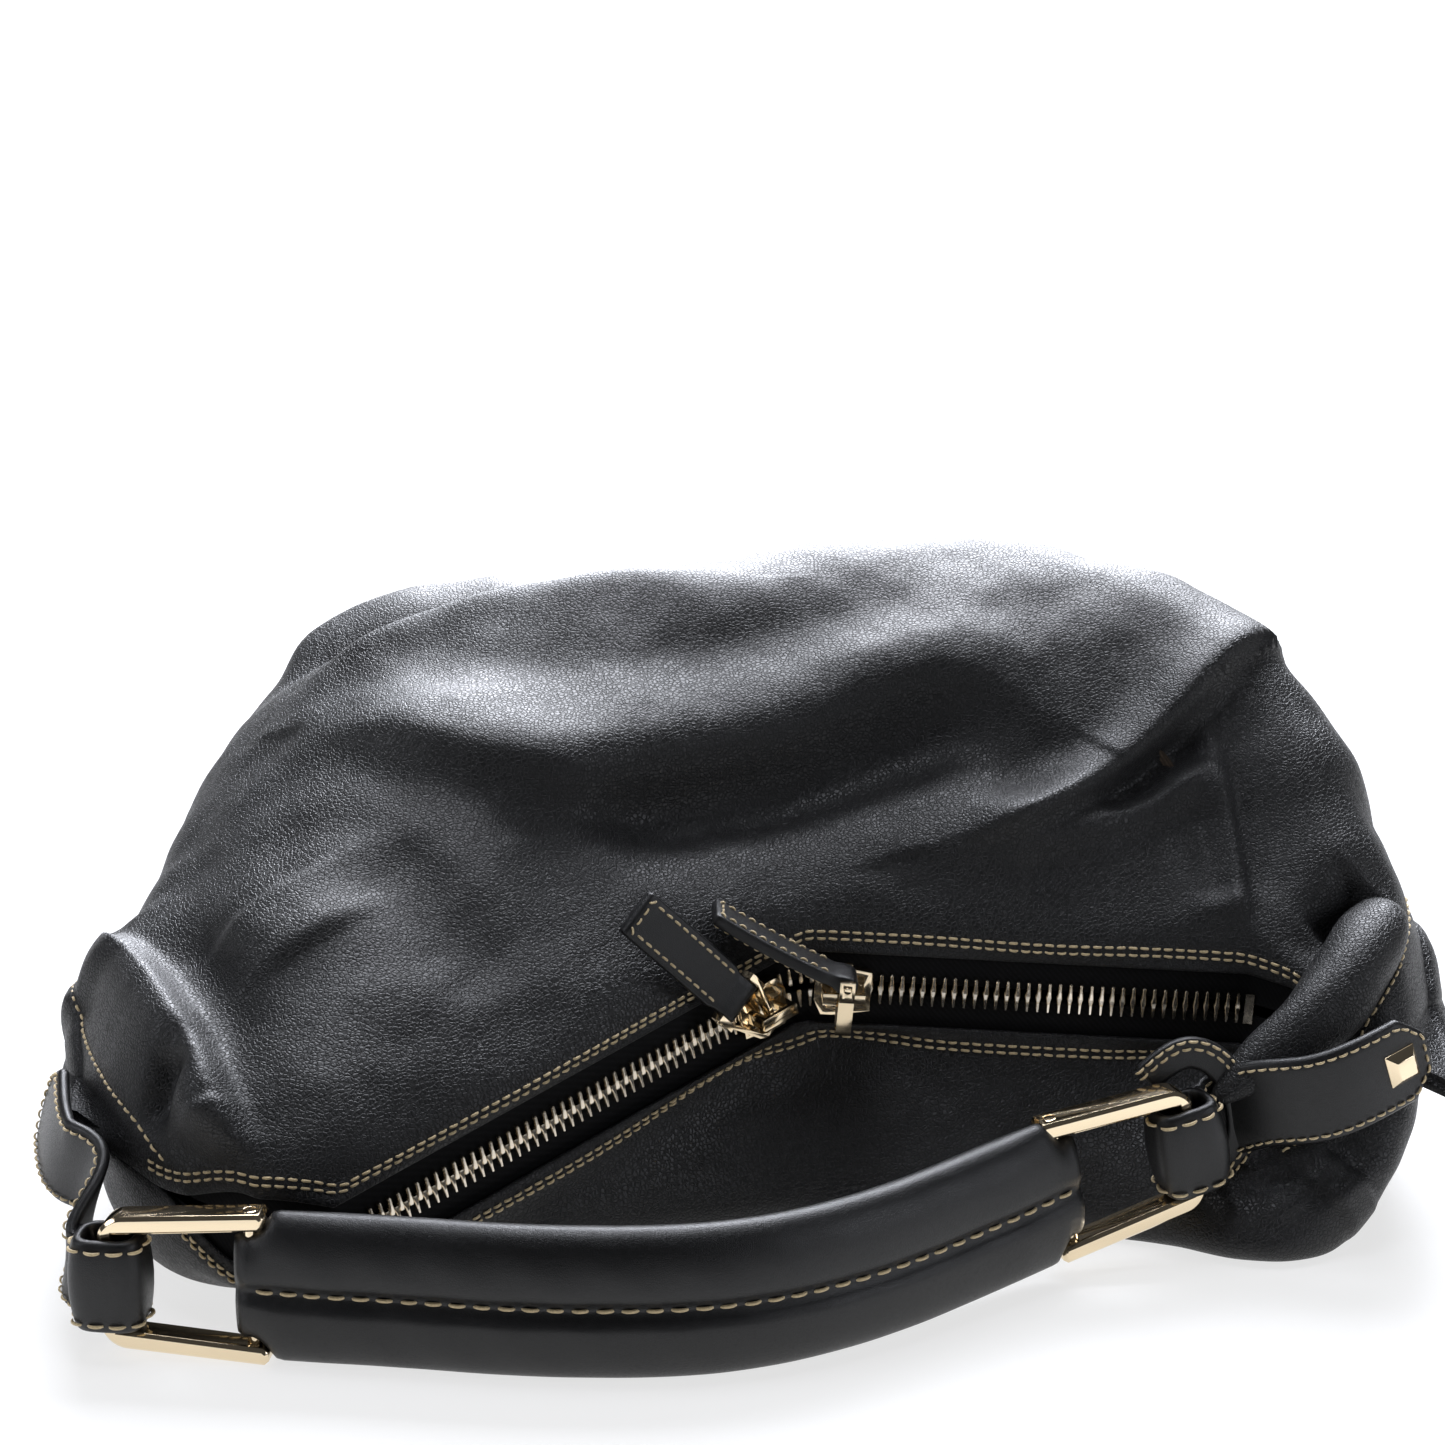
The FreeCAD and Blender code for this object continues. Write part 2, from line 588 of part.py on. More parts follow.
# ---- build and write ----------------------------------------------------------------
def build():
    outer = hull(0)
    middle = hull(LEATHER)
    inner = hull(LEATHER + LINING)
    upper_half = above_seam()
    leather = outer.cut(middle)
    lining = middle.cut(inner)
    slot = ribbon(-LIP_HALF, LIP_HALF, -16, 30)
    lining_slot = ribbon(-STRIP_HALF, STRIP_HALF, -16, 30)
    tapes = {"upper": tape(1), "lower": tape(-1)}
    front = leather.common(upper_half).cut(rabbet(1)).cut(slot)
    back = leather.cut(upper_half).cut(rabbet(-1)).cut(slot)
    lining = lining.cut(lining_slot)
    tab_left, tip_left = tab(TAB_LEFT, Vector(0.36, -0.33, 0.87))
    tab_right, tip_right = tab(TAB_RIGHT, Vector(-0.15, 0, 1))
    stud_left, hole_left = stud(tip_left, 9)
    stud_right, hole_right = stud(tip_right, 9)
    save("front_panel", main_piece(front))
    save("back_panel", main_piece(back))
    save("lining_front", main_piece(lining.common(upper_half)))
    save("lining_back", main_piece(lining.cut(upper_half)))
    pocket_floor = LEATHER + LINING
    save("inner_pocket", box(-62, 62, 20, 110, pocket_floor, pocket_floor + 1.2))
    for name, t in tapes.items():
        save("zipper_tape_" + name, t)
    save("zipper_teeth_upper", teeth(1))
    save("zipper_teeth_lower", teeth(-1))
    save("zipper_end_stops", end_stops())
    runs = {"left": (LEFT_RUN, -1), "right": (RIGHT_RUN, 1)}
    links = {"left": left_link_frame(), "right": right_link_frame()}
    pulls = {"left": LEFT_PULL_ALONG, "right": RIGHT_PULL_ALONG}
    for side, (run, sign) in runs.items():
        spot = (at(run, SLIDER_AT[side], 0, 0),) + run[1:]
        save("slider_" + side, place(slider(sign), spot))
        save("puller_link_" + side, place(link(), links[side]))
        save("puller_pin_" + side, place(link_pin(), links[side]))
        save("leather_pull_" + side, place(leather_pull(), pull_frame(links[side], pulls[side])))
    save("tab_left", tab_left.cut(hole_left))
    save("tab_right", tab_right.cut(hole_right))
    save("tab_stud_left", stud_left)
    save("tab_stud_right", stud_right)
    save("keeper_left", keeper(SWING_LEFT, RING_LEFT))
    save("keeper_right", keeper(SWING_RIGHT, RING_RIGHT))
    for side, fr in (("left", RING_LEFT), ("right", RING_RIGHT)):
        save("ring_" + side, place(ring(), fr))
        save("ring_pin_" + side, place(ring_pin(), fr))
    cores = grip_cores()
    save("grip_cover", grip().cut(cores))
    save("grip_cores", cores)


build()
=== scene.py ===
import json
import math
from collections import namedtuple

import bmesh
import bpy
import numpy as np
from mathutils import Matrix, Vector

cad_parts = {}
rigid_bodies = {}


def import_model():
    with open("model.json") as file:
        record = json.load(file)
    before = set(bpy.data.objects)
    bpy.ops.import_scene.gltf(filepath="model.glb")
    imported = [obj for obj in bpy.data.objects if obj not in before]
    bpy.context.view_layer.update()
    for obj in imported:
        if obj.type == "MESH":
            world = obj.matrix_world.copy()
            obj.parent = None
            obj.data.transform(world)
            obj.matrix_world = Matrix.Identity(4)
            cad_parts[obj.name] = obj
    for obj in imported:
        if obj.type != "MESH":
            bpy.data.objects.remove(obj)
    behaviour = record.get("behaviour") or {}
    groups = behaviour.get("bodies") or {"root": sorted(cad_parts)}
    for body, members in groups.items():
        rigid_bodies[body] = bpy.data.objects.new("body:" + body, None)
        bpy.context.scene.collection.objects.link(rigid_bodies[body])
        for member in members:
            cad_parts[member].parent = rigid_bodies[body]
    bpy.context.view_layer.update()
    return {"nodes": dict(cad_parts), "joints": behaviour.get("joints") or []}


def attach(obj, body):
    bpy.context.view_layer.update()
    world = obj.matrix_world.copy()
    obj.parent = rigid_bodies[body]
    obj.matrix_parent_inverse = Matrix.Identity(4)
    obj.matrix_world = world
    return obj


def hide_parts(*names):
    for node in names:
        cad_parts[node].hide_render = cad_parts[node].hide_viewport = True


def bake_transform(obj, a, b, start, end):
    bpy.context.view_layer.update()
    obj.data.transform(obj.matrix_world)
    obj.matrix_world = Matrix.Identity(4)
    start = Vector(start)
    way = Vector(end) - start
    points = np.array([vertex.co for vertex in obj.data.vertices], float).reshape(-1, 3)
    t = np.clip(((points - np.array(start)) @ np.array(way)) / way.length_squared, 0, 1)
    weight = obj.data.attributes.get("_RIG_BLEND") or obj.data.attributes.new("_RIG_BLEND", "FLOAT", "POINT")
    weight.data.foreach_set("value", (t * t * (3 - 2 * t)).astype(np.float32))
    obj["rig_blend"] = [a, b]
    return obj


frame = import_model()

bl_info = {
    "name": "Leather hobo bag",
    "version": (1, 0, 0),
    "blender": (4, 5, 0),
    "location": "View3D > Sidebar > Hobo bag",
    "description": "Soft leather hobo bag on its back, with its zipper, pulls, rings and padded grip",
    "category": "Object",
}

MM = 0.001

# ---- shape of the frame, in millimetres --------------------------------------------------
LIP_HALF = 10.5
BEND = np.array((14, -16, 61.5))
LEFT_RUN_END = np.array((-100, -100.2, 26.9))
RIGHT_RUN_END = np.array((133, -14, 54))
MOUTH_LEFT = [(-152, -83, 37), (-140, -93, 33), (-122, -100.5, 28.5)]
MOUTH_RIGHT = [(150, -22, 51), (163, -32, 48)]
# Outline of the bag across X: station, middle of the mouth or None, half strip, then
# slope, crest, shoulder, far edge, back and front of the resting patch, low front.
SECTIONS = [
    (-173, (-44, 42), 5, [(-38, 52), (-26, 57), (-6, 57), (12, 46), (2, 33), (-22, 28), (-40, 31)]),
    (-166, (-62, 40), 8, [(-46, 60), (-14, 68), (20, 68), (50, 50), (30, 12), (-20, 6), (-56, 20)]),
    (-150, (-84, 36), 11, [(-58, 68), (10, 88), (78, 98), (112, 56), (92, -4), (-46, -4), (-76, 10)]),
    (-118, (-100, 28), 14, [(-64, 76), (15, 114), (108, 122), (148, 62), (120, -4), (-60, -4), (-92, 10)]),
    (-78, None, 14, [(-48, 86), (28, 134), (112, 134), (165, 64), (138, -4), (-55, -4), (-82, 10)]),
    (-36, None, 14, [(-16, 98), (42, 145), (118, 138), (172, 65), (146, -4), (-40, -4), (-60, 12)]),
    (14, None, 14, [(14, 110), (60, 152), (122, 141), (175, 65), (150, -4), (-26, -4), (-36, 16)]),
    (58, None, 14, [(16, 112), (66, 154), (124, 142), (174, 65), (150, -4), (-28, -4), (-36, 16)]),
    (98, None, 14, [(16, 106), (60, 149), (118, 135), (168, 64), (142, -4), (-34, -4), (-40, 14)]),
    (132, None, 13, [(10, 97), (48, 135), (102, 122), (150, 60), (125, -4), (-46, -4), (-54, 14)]),
    (156, (-27, 50), 9, [(-6, 84), (32, 112), (78, 104), (118, 54), (96, -4), (-40, -4), (-48, 16)]),
    (173, (-30, 47), 7, [(-16, 70), (14, 88), (52, 82), (84, 50), (60, 6), (-10, 6), (-36, 22)]),
    (184, (-6, 47), 5, [(0, 58), (14, 64), (34, 62), (46, 48), (36, 34), (12, 30), (-4, 36)]),
]

# ---- small geometry helpers --------------------------------------------------------------
Frame = namedtuple("Frame", "origin along up out")
UP = np.array((0.0, 0.0, 1.0))


def unit(v):
    v = np.asarray(v, float)
    return v / np.linalg.norm(v)


def frame_on(origin, along):
    """Axes on a line: along it, as near up as can be, and outwards."""
    u = unit(along)
    w = unit(UP - u * u[2])
    return Frame(np.asarray(origin, float), u, w, np.cross(u, w))


def at(fr, x, y, z):
    return fr.origin + fr.along * x + fr.up * y + fr.out * z


LEFT_RUN = frame_on(BEND, BEND - LEFT_RUN_END)
RIGHT_RUN = frame_on(BEND, RIGHT_RUN_END - BEND)


def spline(steps, values, query, closed=False):
    """Smooth curve through values at steps: natural at its ends, or closed on itself."""
    steps = np.asarray(steps, float)
    values = np.asarray(values, float)
    flat = values.reshape(len(values), -1)
    if closed:
        flat = np.vstack([flat, flat[:1]])
    n = len(steps)
    h = np.diff(steps)
    a = np.zeros((n, n))
    b = np.zeros((n, flat.shape[1]))
    for i in range(1, n - 1):
        a[i, i - 1], a[i, i], a[i, i + 1] = h[i - 1], 2 * (h[i - 1] + h[i]), h[i]
        b[i] = 6 * ((flat[i + 1] - flat[i]) / h[i] - (flat[i] - flat[i - 1]) / h[i - 1])
    if closed:
        a[0, 0], a[0, n - 1] = 1, -1
        a[n - 1, 0], a[n - 1, 1] = 2 * h[0], h[0]
        a[n - 1, n - 2], a[n - 1, n - 1] = h[-1], 2 * h[-1]
        b[n - 1] = 6 * ((flat[1] - flat[0]) / h[0] - (flat[-1] - flat[-2]) / h[-1])
    else:
        a[0, 0] = a[n - 1, n - 1] = 1
    m = np.linalg.solve(a, b)
    query = np.asarray(query, float)
    i = np.clip(np.searchsorted(steps, query, side="right") - 1, 0, n - 2)
    hi = h[i][:, None]
    r = (steps[i + 1] - query)[:, None]
    q = (query - steps[i])[:, None]
    out = (m[i] * r**3 + m[i + 1] * q**3) / (6 * hi)
    out += (flat[i] / hi - m[i] * hi / 6) * r + (flat[i + 1] / hi - m[i + 1] * hi / 6) * q
    return out.reshape((len(query),) + values.shape[1:])


def mouth_stops():
    left = [np.array(p, float) for p in MOUTH_LEFT] + [LEFT_RUN_END]
    stops = []
    for i, p in enumerate(left[:-1]):
        before = left[max(i - 1, 0)]
        stops.append(frame_on(p, unit(left[i + 1] - p) + unit(left[i + 1] - before)))
    stops.append(LEFT_RUN._replace(origin=LEFT_RUN_END))
    stops.append(LEFT_RUN._replace(origin=at(LEFT_RUN, -2, 0, 0)))
    stops.append(RIGHT_RUN._replace(origin=at(RIGHT_RUN, 2, 0, 0)))
    stops.append(RIGHT_RUN._replace(origin=RIGHT_RUN_END))
    right = [RIGHT_RUN_END] + [np.array(p, float) for p in MOUTH_RIGHT]
    for i in (1, 2):
        after = right[min(i + 1, 2)]
        stops.append(frame_on(right[i], unit(right[i] - right[i - 1]) + unit(after - right[i - 1])))
    return stops


STOPS = mouth_stops()


def mouth_at(x):
    """Frame on the mouth's middle at a station along X, turning evenly between the stops."""
    xs = [s.origin[0] for s in STOPS]
    i = int(np.clip(np.searchsorted(xs, x, side="right") - 1, 0, len(xs) - 2))
    a, b = STOPS[i], STOPS[i + 1]
    t = (x - xs[i]) / (xs[i + 1] - xs[i])
    along = a.along * (1 - np.clip(t, 0, 1)) + b.along * np.clip(t, 0, 1)
    return frame_on(a.origin + (b.origin - a.origin) * t, along)


# ---- leather of the body -----------------------------------------------------------------
def body_loops():
    """The sections as loops of points, the two edges of the zipper's strip first and last."""
    loops = []
    for x, middle, half, points in SECTIONS:
        if middle is None:
            fr = mouth_at(x)
        else:
            fr = Frame(np.array((x, middle[0], middle[1]), float), None, UP, None)
        loop = [fr.origin + fr.up * half] + [np.array((x, y, z), float) for y, z in points]
        loops.append(loop + [fr.origin - fr.up * half])
    return np.array(loops)


def body_grid(across, around):
    """Points of the bag's skin: rows along X, columns from the upper lip round to the lower."""
    loops = body_loops()
    gaps = np.sqrt(np.linalg.norm(np.roll(loops, -1, axis=1) - loops, axis=2)).sum(axis=0)
    steps = np.concatenate([[0], np.cumsum(gaps)]) / gaps.sum()
    last = steps[len(steps) - 2]
    t = np.linspace(0, last, around)
    rings = np.array([spline(steps, loop, t, closed=True) for loop in loops])
    reach = np.linalg.norm(np.diff(rings, axis=0), axis=2).mean(axis=1)
    s = np.concatenate([[0], np.cumsum(reach)]) / reach.sum()
    grid = spline(s, rings, np.linspace(0, 1, across))
    return grid, steps, t


GRID_ACROSS = 250
GRID_AROUND = 430
CAP_RINGS = 9
CAP_BULGE = 7.0
REST_BLEND = 6.0  # height below which the leather is pressed on the ground
LIP_TURN = [(0.0, 0.0), (-0.35, -0.25), (-0.55, -0.8), (-0.4, -1.5), (0.4, -2.1), (2.2, -2.3)]

# Folds: name, path, height, width on the left of the path, width on its right.
FOLDS = [
    ("shoulder swell", [(98, 88, 150), (131, 69, 138), (154, 51, 116), (174, 26, 90)], 6.5, 26, 26),
    ("left end swell", [(-173, -30, 57), (-173, -8, 60), (-168, 10, 62)], 5.0, 18, 18),
    ("crest", [(-120, 30, 121), (-88, 8, 123), (-60, 0, 119), (-36, 2, 117), (3, 18, 119), (28, 30, 124),
               (50, 38, 131), (70, 36, 131), (88, 26, 122)], 8.0, 20, 9),
    ("hollow under crest", [(-50, -12, 102), (-10, 6, 104), (20, 16, 109), (50, 24, 117), (70, 18, 110)],
     -9.5, 15, 13),
    ("hollow over crest", [(-84, 34, 137), (-36, 32, 138), (20, 52, 141), (56, 66, 145)], -3.5, 14, 14),
    ("main ridge", [(-128, 66, 112), (-106, 62, 130), (-78, 62, 142), (-40, 62, 148), (0, 64, 152)],
     5.0, 8, 12),
    ("valley behind ridge", [(-134, 88, 104), (-110, 92, 124), (-80, 96, 136), (-48, 96, 142)], -8.0, 9, 9),
    ("back lobe", [(-136, 112, 100), (-112, 118, 118), (-84, 122, 126), (-56, 122, 132)], 9.5, 12, 14),
    ("upper diagonal", [(146, 64, 128), (124, 36, 126), (106, 24, 113), (90, 14, 105), (72, 5, 99),
                        (50, 0, 94)],
     10.5, 3.8, 14),
    ("above the diagonal", [(118, 44, 130), (100, 32, 118), (82, 20, 110), (60, 12, 104)], -4.5, 8, 8),
    ("lower diagonal", [(128, 24, 114), (110, 14, 102), (86, 4, 97), (60, -3, 92)], 6.0, 5, 8),
    ("between the diagonals", [(124, 30, 119), (108, 19, 107), (92, 11, 102)], -3.5, 6, 6),
    ("upright crease", [(128, 24, 114), (131, 5, 92), (134, -11, 74)], 6.0, 2.2, 12),
    ("left of the crease", [(121, 14, 104), (125, 1, 90), (128, -8, 80)], -3.5, 8, 5),
    ("pocket", [(170, -2, 87), (162, -10, 81), (152, -16, 74)], -11.0, 8, 8),
    ("left ear edge", [(-168, 0, 66), (-158, -26, 71), (-148, -50, 71), (-137, -72, 65), (-129, -87, 56),
                       (-121, -99, 43)], 9.5, 2.8, 15),
    ("beside the ear", [(-150, -26, 80), (-138, -50, 78), (-126, -76, 68)], -3.5, 9, 9),
    ("left ear crease", [(-141, -72, 64), (-146, -80, 55), (-152, -84, 46)], -8.5, 4.5, 4.5),
    ("left lower lobe", [(-136, -86, 56), (-131, -96, 44)], 4.5, 9, 9),
    ("left slope swell", [(-128, -30, 92), (-112, -52, 82)], 4.0, 20, 20),
    ("left slope hollow", [(-100, -20, 103), (-78, -44, 88), (-60, -58, 74)], -3.0, 12, 12),
    ("low right crease 1", [(131, -48, 18), (146, -46, 22), (161, -38, 30)], -2.4, 3, 3),
    ("low right crease 2", [(129, -52, 10), (146, -52, 14), (163, -43, 20)], 2.4, 3.2, 3.2),
    ("low right crease 3", [(137, -54, 8), (150, -50, 16), (160, -42, 24)], -3.0, 2.6, 2.6),
    ("low right bulge", [(150, -48, 12), (160, -42, 20)], 3.5, 10, 10),
]


def nearest_on(path, points):
    """For each point: distance to a path, share of the way along it, and which step is nearest."""
    best = np.full(len(points), 1e9)
    where = np.zeros(len(points))
    step = np.zeros(len(points), int)
    gaps = np.linalg.norm(np.diff(path, axis=0), axis=1)
    run = np.concatenate([[0], np.cumsum(gaps)])
    for i in range(len(path) - 1):
        a, d = path[i], path[i + 1] - path[i]
        t = np.clip(((points - a) @ d) / (d @ d), 0, 1)
        r = np.linalg.norm(points - a - t[:, None] * d, axis=1)
        closer = r < best
        best[closer] = r[closer]
        where[closer] = (run[i] + t[closer] * gaps[i]) / run[-1]
        step[closer] = i
    return best, where, step


def smooth_path(points, count):
    points = np.array(points, float)
    gaps = np.linalg.norm(np.diff(points, axis=0), axis=1)
    s = np.concatenate([[0], np.cumsum(np.sqrt(gaps))])
    return spline(s, points, np.linspace(0, s[-1], count))


def grid_normals(grid):
    du = np.gradient(grid, axis=0)
    dv = np.gradient(grid, axis=1)
    n = np.cross(du, dv)
    return n / (np.linalg.norm(n, axis=2, keepdims=True) + 1e-12)


def fold_heights(points, normals, folds):
    height = np.zeros(len(points))
    for _, path, rise, left, right in folds:
        line = smooth_path(path, 5 * len(path))
        d, where, step = nearest_on(line, points)
        close = d < 3 * max(left, right)
        tangent = np.diff(line, axis=0)[step[close]]
        away = np.cross(normals[close], tangent)
        offset = points[close] - line[step[close]]
        width = np.where((offset * away).sum(1) > 0, left, right)
        ends = np.clip(np.minimum(where[close], 1 - where[close]) / 0.22, 0, 1)
        ends = 0.25 + 0.75 * ends * ends * (3 - 2 * ends)
        height[close] += rise * ends * np.exp(-(d[close] / width) ** 2)
    return height


def ripples(points, size, seed):
    """Smooth seeded unevenness of soft leather, between -1 and 1."""
    rng = np.random.default_rng(seed)
    total = np.zeros(len(points))
    for _ in range(9):
        direction = rng.normal(size=3)
        direction *= (2 * math.pi / size) * rng.uniform(0.7, 1.5) / np.linalg.norm(direction)
        total += np.sin(points @ direction + rng.uniform(0, 2 * math.pi))
    return total / 4.5


def lip_half(x):
    """Half the mouth's opening: full in the middle, drawn shut past the zipper's ends."""
    left = np.clip((x + 150) / 26, 0, 1)
    right = np.clip((164 - x) / 22, 0, 1)
    s = left * right
    return 0.25 + (LIP_HALF - 0.25) * s * s * (3 - 2 * s)


def skin():
    """Folded skin of the bag: a grid of points, with its lips turned in and its ends closed."""
    grid, steps, t = body_grid(GRID_ACROSS, GRID_AROUND)
    normals = grid_normals(grid)
    flat = grid.reshape(-1, 3)
    lift = fold_heights(flat, normals.reshape(-1, 3), FOLDS)
    lift += 0.65 * ripples(flat, 34, 5) + 0.16 * ripples(flat, 15, 11)
    lift = lift.reshape(grid.shape[:2])
    arc = np.concatenate([np.zeros((len(grid), 1)),
                          np.cumsum(np.linalg.norm(np.diff(grid, axis=1), axis=2), axis=1)], axis=1)
    from_lip = np.minimum(arc, arc[:, -1:] - arc)
    calm = np.clip(from_lip / 14, 0, 1)
    calm = 0.08 + 0.92 * calm * calm * (3 - 2 * calm)
    grid = grid + normals * (lift * calm)[..., None]
    seated = grid[..., 2]
    pressed = np.maximum(seated, 0) * 0.5 + np.log1p(np.exp(seated / 1.6)) * 0.8
    grid[..., 2] = np.where(seated < REST_BLEND, pressed, seated)
    grid[..., 2] = np.maximum(grid[..., 2], 0.05)
    upper, lower = [], []
    for row in grid:
        fr = mouth_at(row[0, 0])
        half = lip_half(row[0, 0])
        edges = []
        for sign, end in ((1, row[0]), (-1, row[-1])):
            rim = fr.origin + fr.up * (sign * half)
            strip = [rim + (end - rim) * k for k in (0.0, 0.3, 0.62)]
            turn = [rim + fr.up * (sign * w) + fr.out * n for w, n in LIP_TURN[1:]]
            edges.append(turn[::-1] + strip)
        upper.append(edges[0])
        lower.append(edges[1][::-1])
    grid = np.concatenate([np.array(upper), grid, np.array(lower)], axis=1)
    lead = len(LIP_TURN) - 1 + 3
    seam = lead + int(np.searchsorted(t, steps[4]))
    return closed_ends(grid), seam


def closed_ends(grid):
    """Rounded rings that shrink to the middle of each end."""
    caps = []
    for row, sign in ((grid[0], -1), (grid[-1], 1)):
        centre = row.mean(axis=0)
        rings = []
        for k in range(1, CAP_RINGS + 1):
            a = math.pi / 2 * k / CAP_RINGS
            ring = centre + (row - centre) * math.cos(a)
            ring = ring + np.array((sign * CAP_BULGE * math.sin(a), 0, 0))
            rings.append(ring)
        caps.append(rings[::-1] if sign < 0 else rings)
    return np.concatenate([np.array(caps[0]), grid, np.array(caps[1])])


# ---- meshes ------------------------------------------------------------------------------
def piece(name, verts, faces, material, smooth=True):
    """New object at the origin from points in millimetres."""
    mesh = bpy.data.meshes.new(name)
    mesh.from_pydata([tuple(v) for v in np.asarray(verts, float) * MM], [], faces)
    mesh.update()
    mesh.materials.append(material)
    obj = bpy.data.objects.new(name, mesh)
    bpy.context.scene.collection.objects.link(obj)
    if smooth:
        mesh.polygons.foreach_set("use_smooth", [True] * len(mesh.polygons))
    return obj


def grid_faces(rows, cols, wrap=False, flip=False):
    faces = []
    span = cols if wrap else cols - 1
    for i in range(rows - 1):
        for j in range(span):
            k = (j + 1) % cols
            f = (i * cols + j, i * cols + k, (i + 1) * cols + k, (i + 1) * cols + j)
            faces.append(f[::-1] if flip else f)
    return faces


def tidy(obj, merge=0.02):
    """Merges doubles and turns the faces outwards."""
    bm = bmesh.new()
    bm.from_mesh(obj.data)
    bmesh.ops.remove_doubles(bm, verts=bm.verts, dist=merge * MM)
    bmesh.ops.dissolve_degenerate(bm, edges=bm.edges, dist=0.001 * MM)
    bmesh.ops.recalc_face_normals(bm, faces=bm.faces)
    bm.to_mesh(obj.data)
    bm.free()
    return obj


def finish_modifiers(obj):
    """Bakes an object's modifiers into a plain mesh."""
    bpy.context.view_layer.update()
    graph = bpy.context.evaluated_depsgraph_get()
    mesh = bpy.data.meshes.new_from_object(obj.evaluated_get(graph))
    obj.modifiers.clear()
    obj.data = mesh
    return obj


def tube(name, rings, material, caps=True):
    """Skin through closed rings of points, ends closed."""
    rings = np.array(rings, float)
    rows, cols = rings.shape[:2]
    verts = rings.reshape(-1, 3)
    faces = grid_faces(rows, cols, wrap=True)
    if caps:
        faces.append(tuple(range(cols)))
        faces.append(tuple(range((rows - 1) * cols, rows * cols))[::-1])
    return tidy(piece(name, verts, faces, material))


def bevelled_copy(node, name, material, width, segments=3, angle=30):
    """A cleaned copy of a CAD node with its sharp edges rounded; it replaces the node."""
    obj = frame["nodes"][node].copy()
    obj.data = frame["nodes"][node].data.copy()
    obj.name = name
    for key in list(obj.keys()):
        del obj[key]
    obj.parent = None
    bpy.context.scene.collection.objects.link(obj)
    obj.hide_render = False
    obj.data.materials.clear()
    obj.data.materials.append(material)
    bm = bmesh.new()
    bm.from_mesh(obj.data)
    bmesh.ops.remove_doubles(bm, verts=bm.verts, dist=0.004 * MM)
    flat = math.radians(2)
    bmesh.ops.dissolve_limit(bm, angle_limit=flat, verts=bm.verts, edges=bm.edges)
    bm.to_mesh(obj.data)
    bm.free()
    bevel = obj.modifiers.new("Rounded edges", "BEVEL")
    bevel.width = width * MM
    bevel.segments = segments
    bevel.limit_method = "ANGLE"
    bevel.angle_limit = math.radians(angle)
    bevel.harden_normals = False
    finish_modifiers(obj)
    obj.data.polygons.foreach_set("use_smooth", [True] * len(obj.data.polygons))
    obj.data.set_sharp_from_angle(angle=math.radians(38))
    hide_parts(node)
    return obj

# ---- materials ---------------------------------------------------------------------------
def colour(code):
    """sRGB hex value to linear RGBA."""
    parts = [int(code[i:i + 2], 16) / 255 for i in (1, 3, 5)]
    linear = [c / 12.92 if c <= 0.04045 else ((c + 0.055) / 1.055) ** 2.4 for c in parts]
    return (*linear, 1.0)


def add(tree, kind, settings=None, **links):
    """Adds a node, sets its properties and input values, and links inputs by name."""
    node = tree.nodes.new(kind)
    for key, value in (settings or {}).items():
        if isinstance(key, int) or key in node.inputs:
            node.inputs[key].default_value = value
        else:
            setattr(node, key, value)
    for key, source in links.items():
        name = int(key[1:]) if key[0] == "i" and key[1:].isdigit() else key.replace("_", " ")
        tree.links.new(source, node.inputs[name])
    return node


def new_material(name, base, rough, **settings):
    mat = bpy.data.materials.new(name)
    mat.use_nodes = True
    tree = mat.node_tree
    shader = tree.nodes["Principled BSDF"]
    shader.inputs["Base Color"].default_value = base
    shader.inputs["Roughness"].default_value = rough
    for key, value in settings.items():
        shader.inputs[key.replace("_", " ")].default_value = value
    return mat, tree, shader


def ramp(tree, source, low, high, dark, light):
    node = add(tree, "ShaderNodeValToRGB", Fac=source)
    node.color_ramp.elements[0].position = low
    node.color_ramp.elements[0].color = dark
    node.color_ramp.elements[1].position = high
    node.color_ramp.elements[1].color = light
    return node


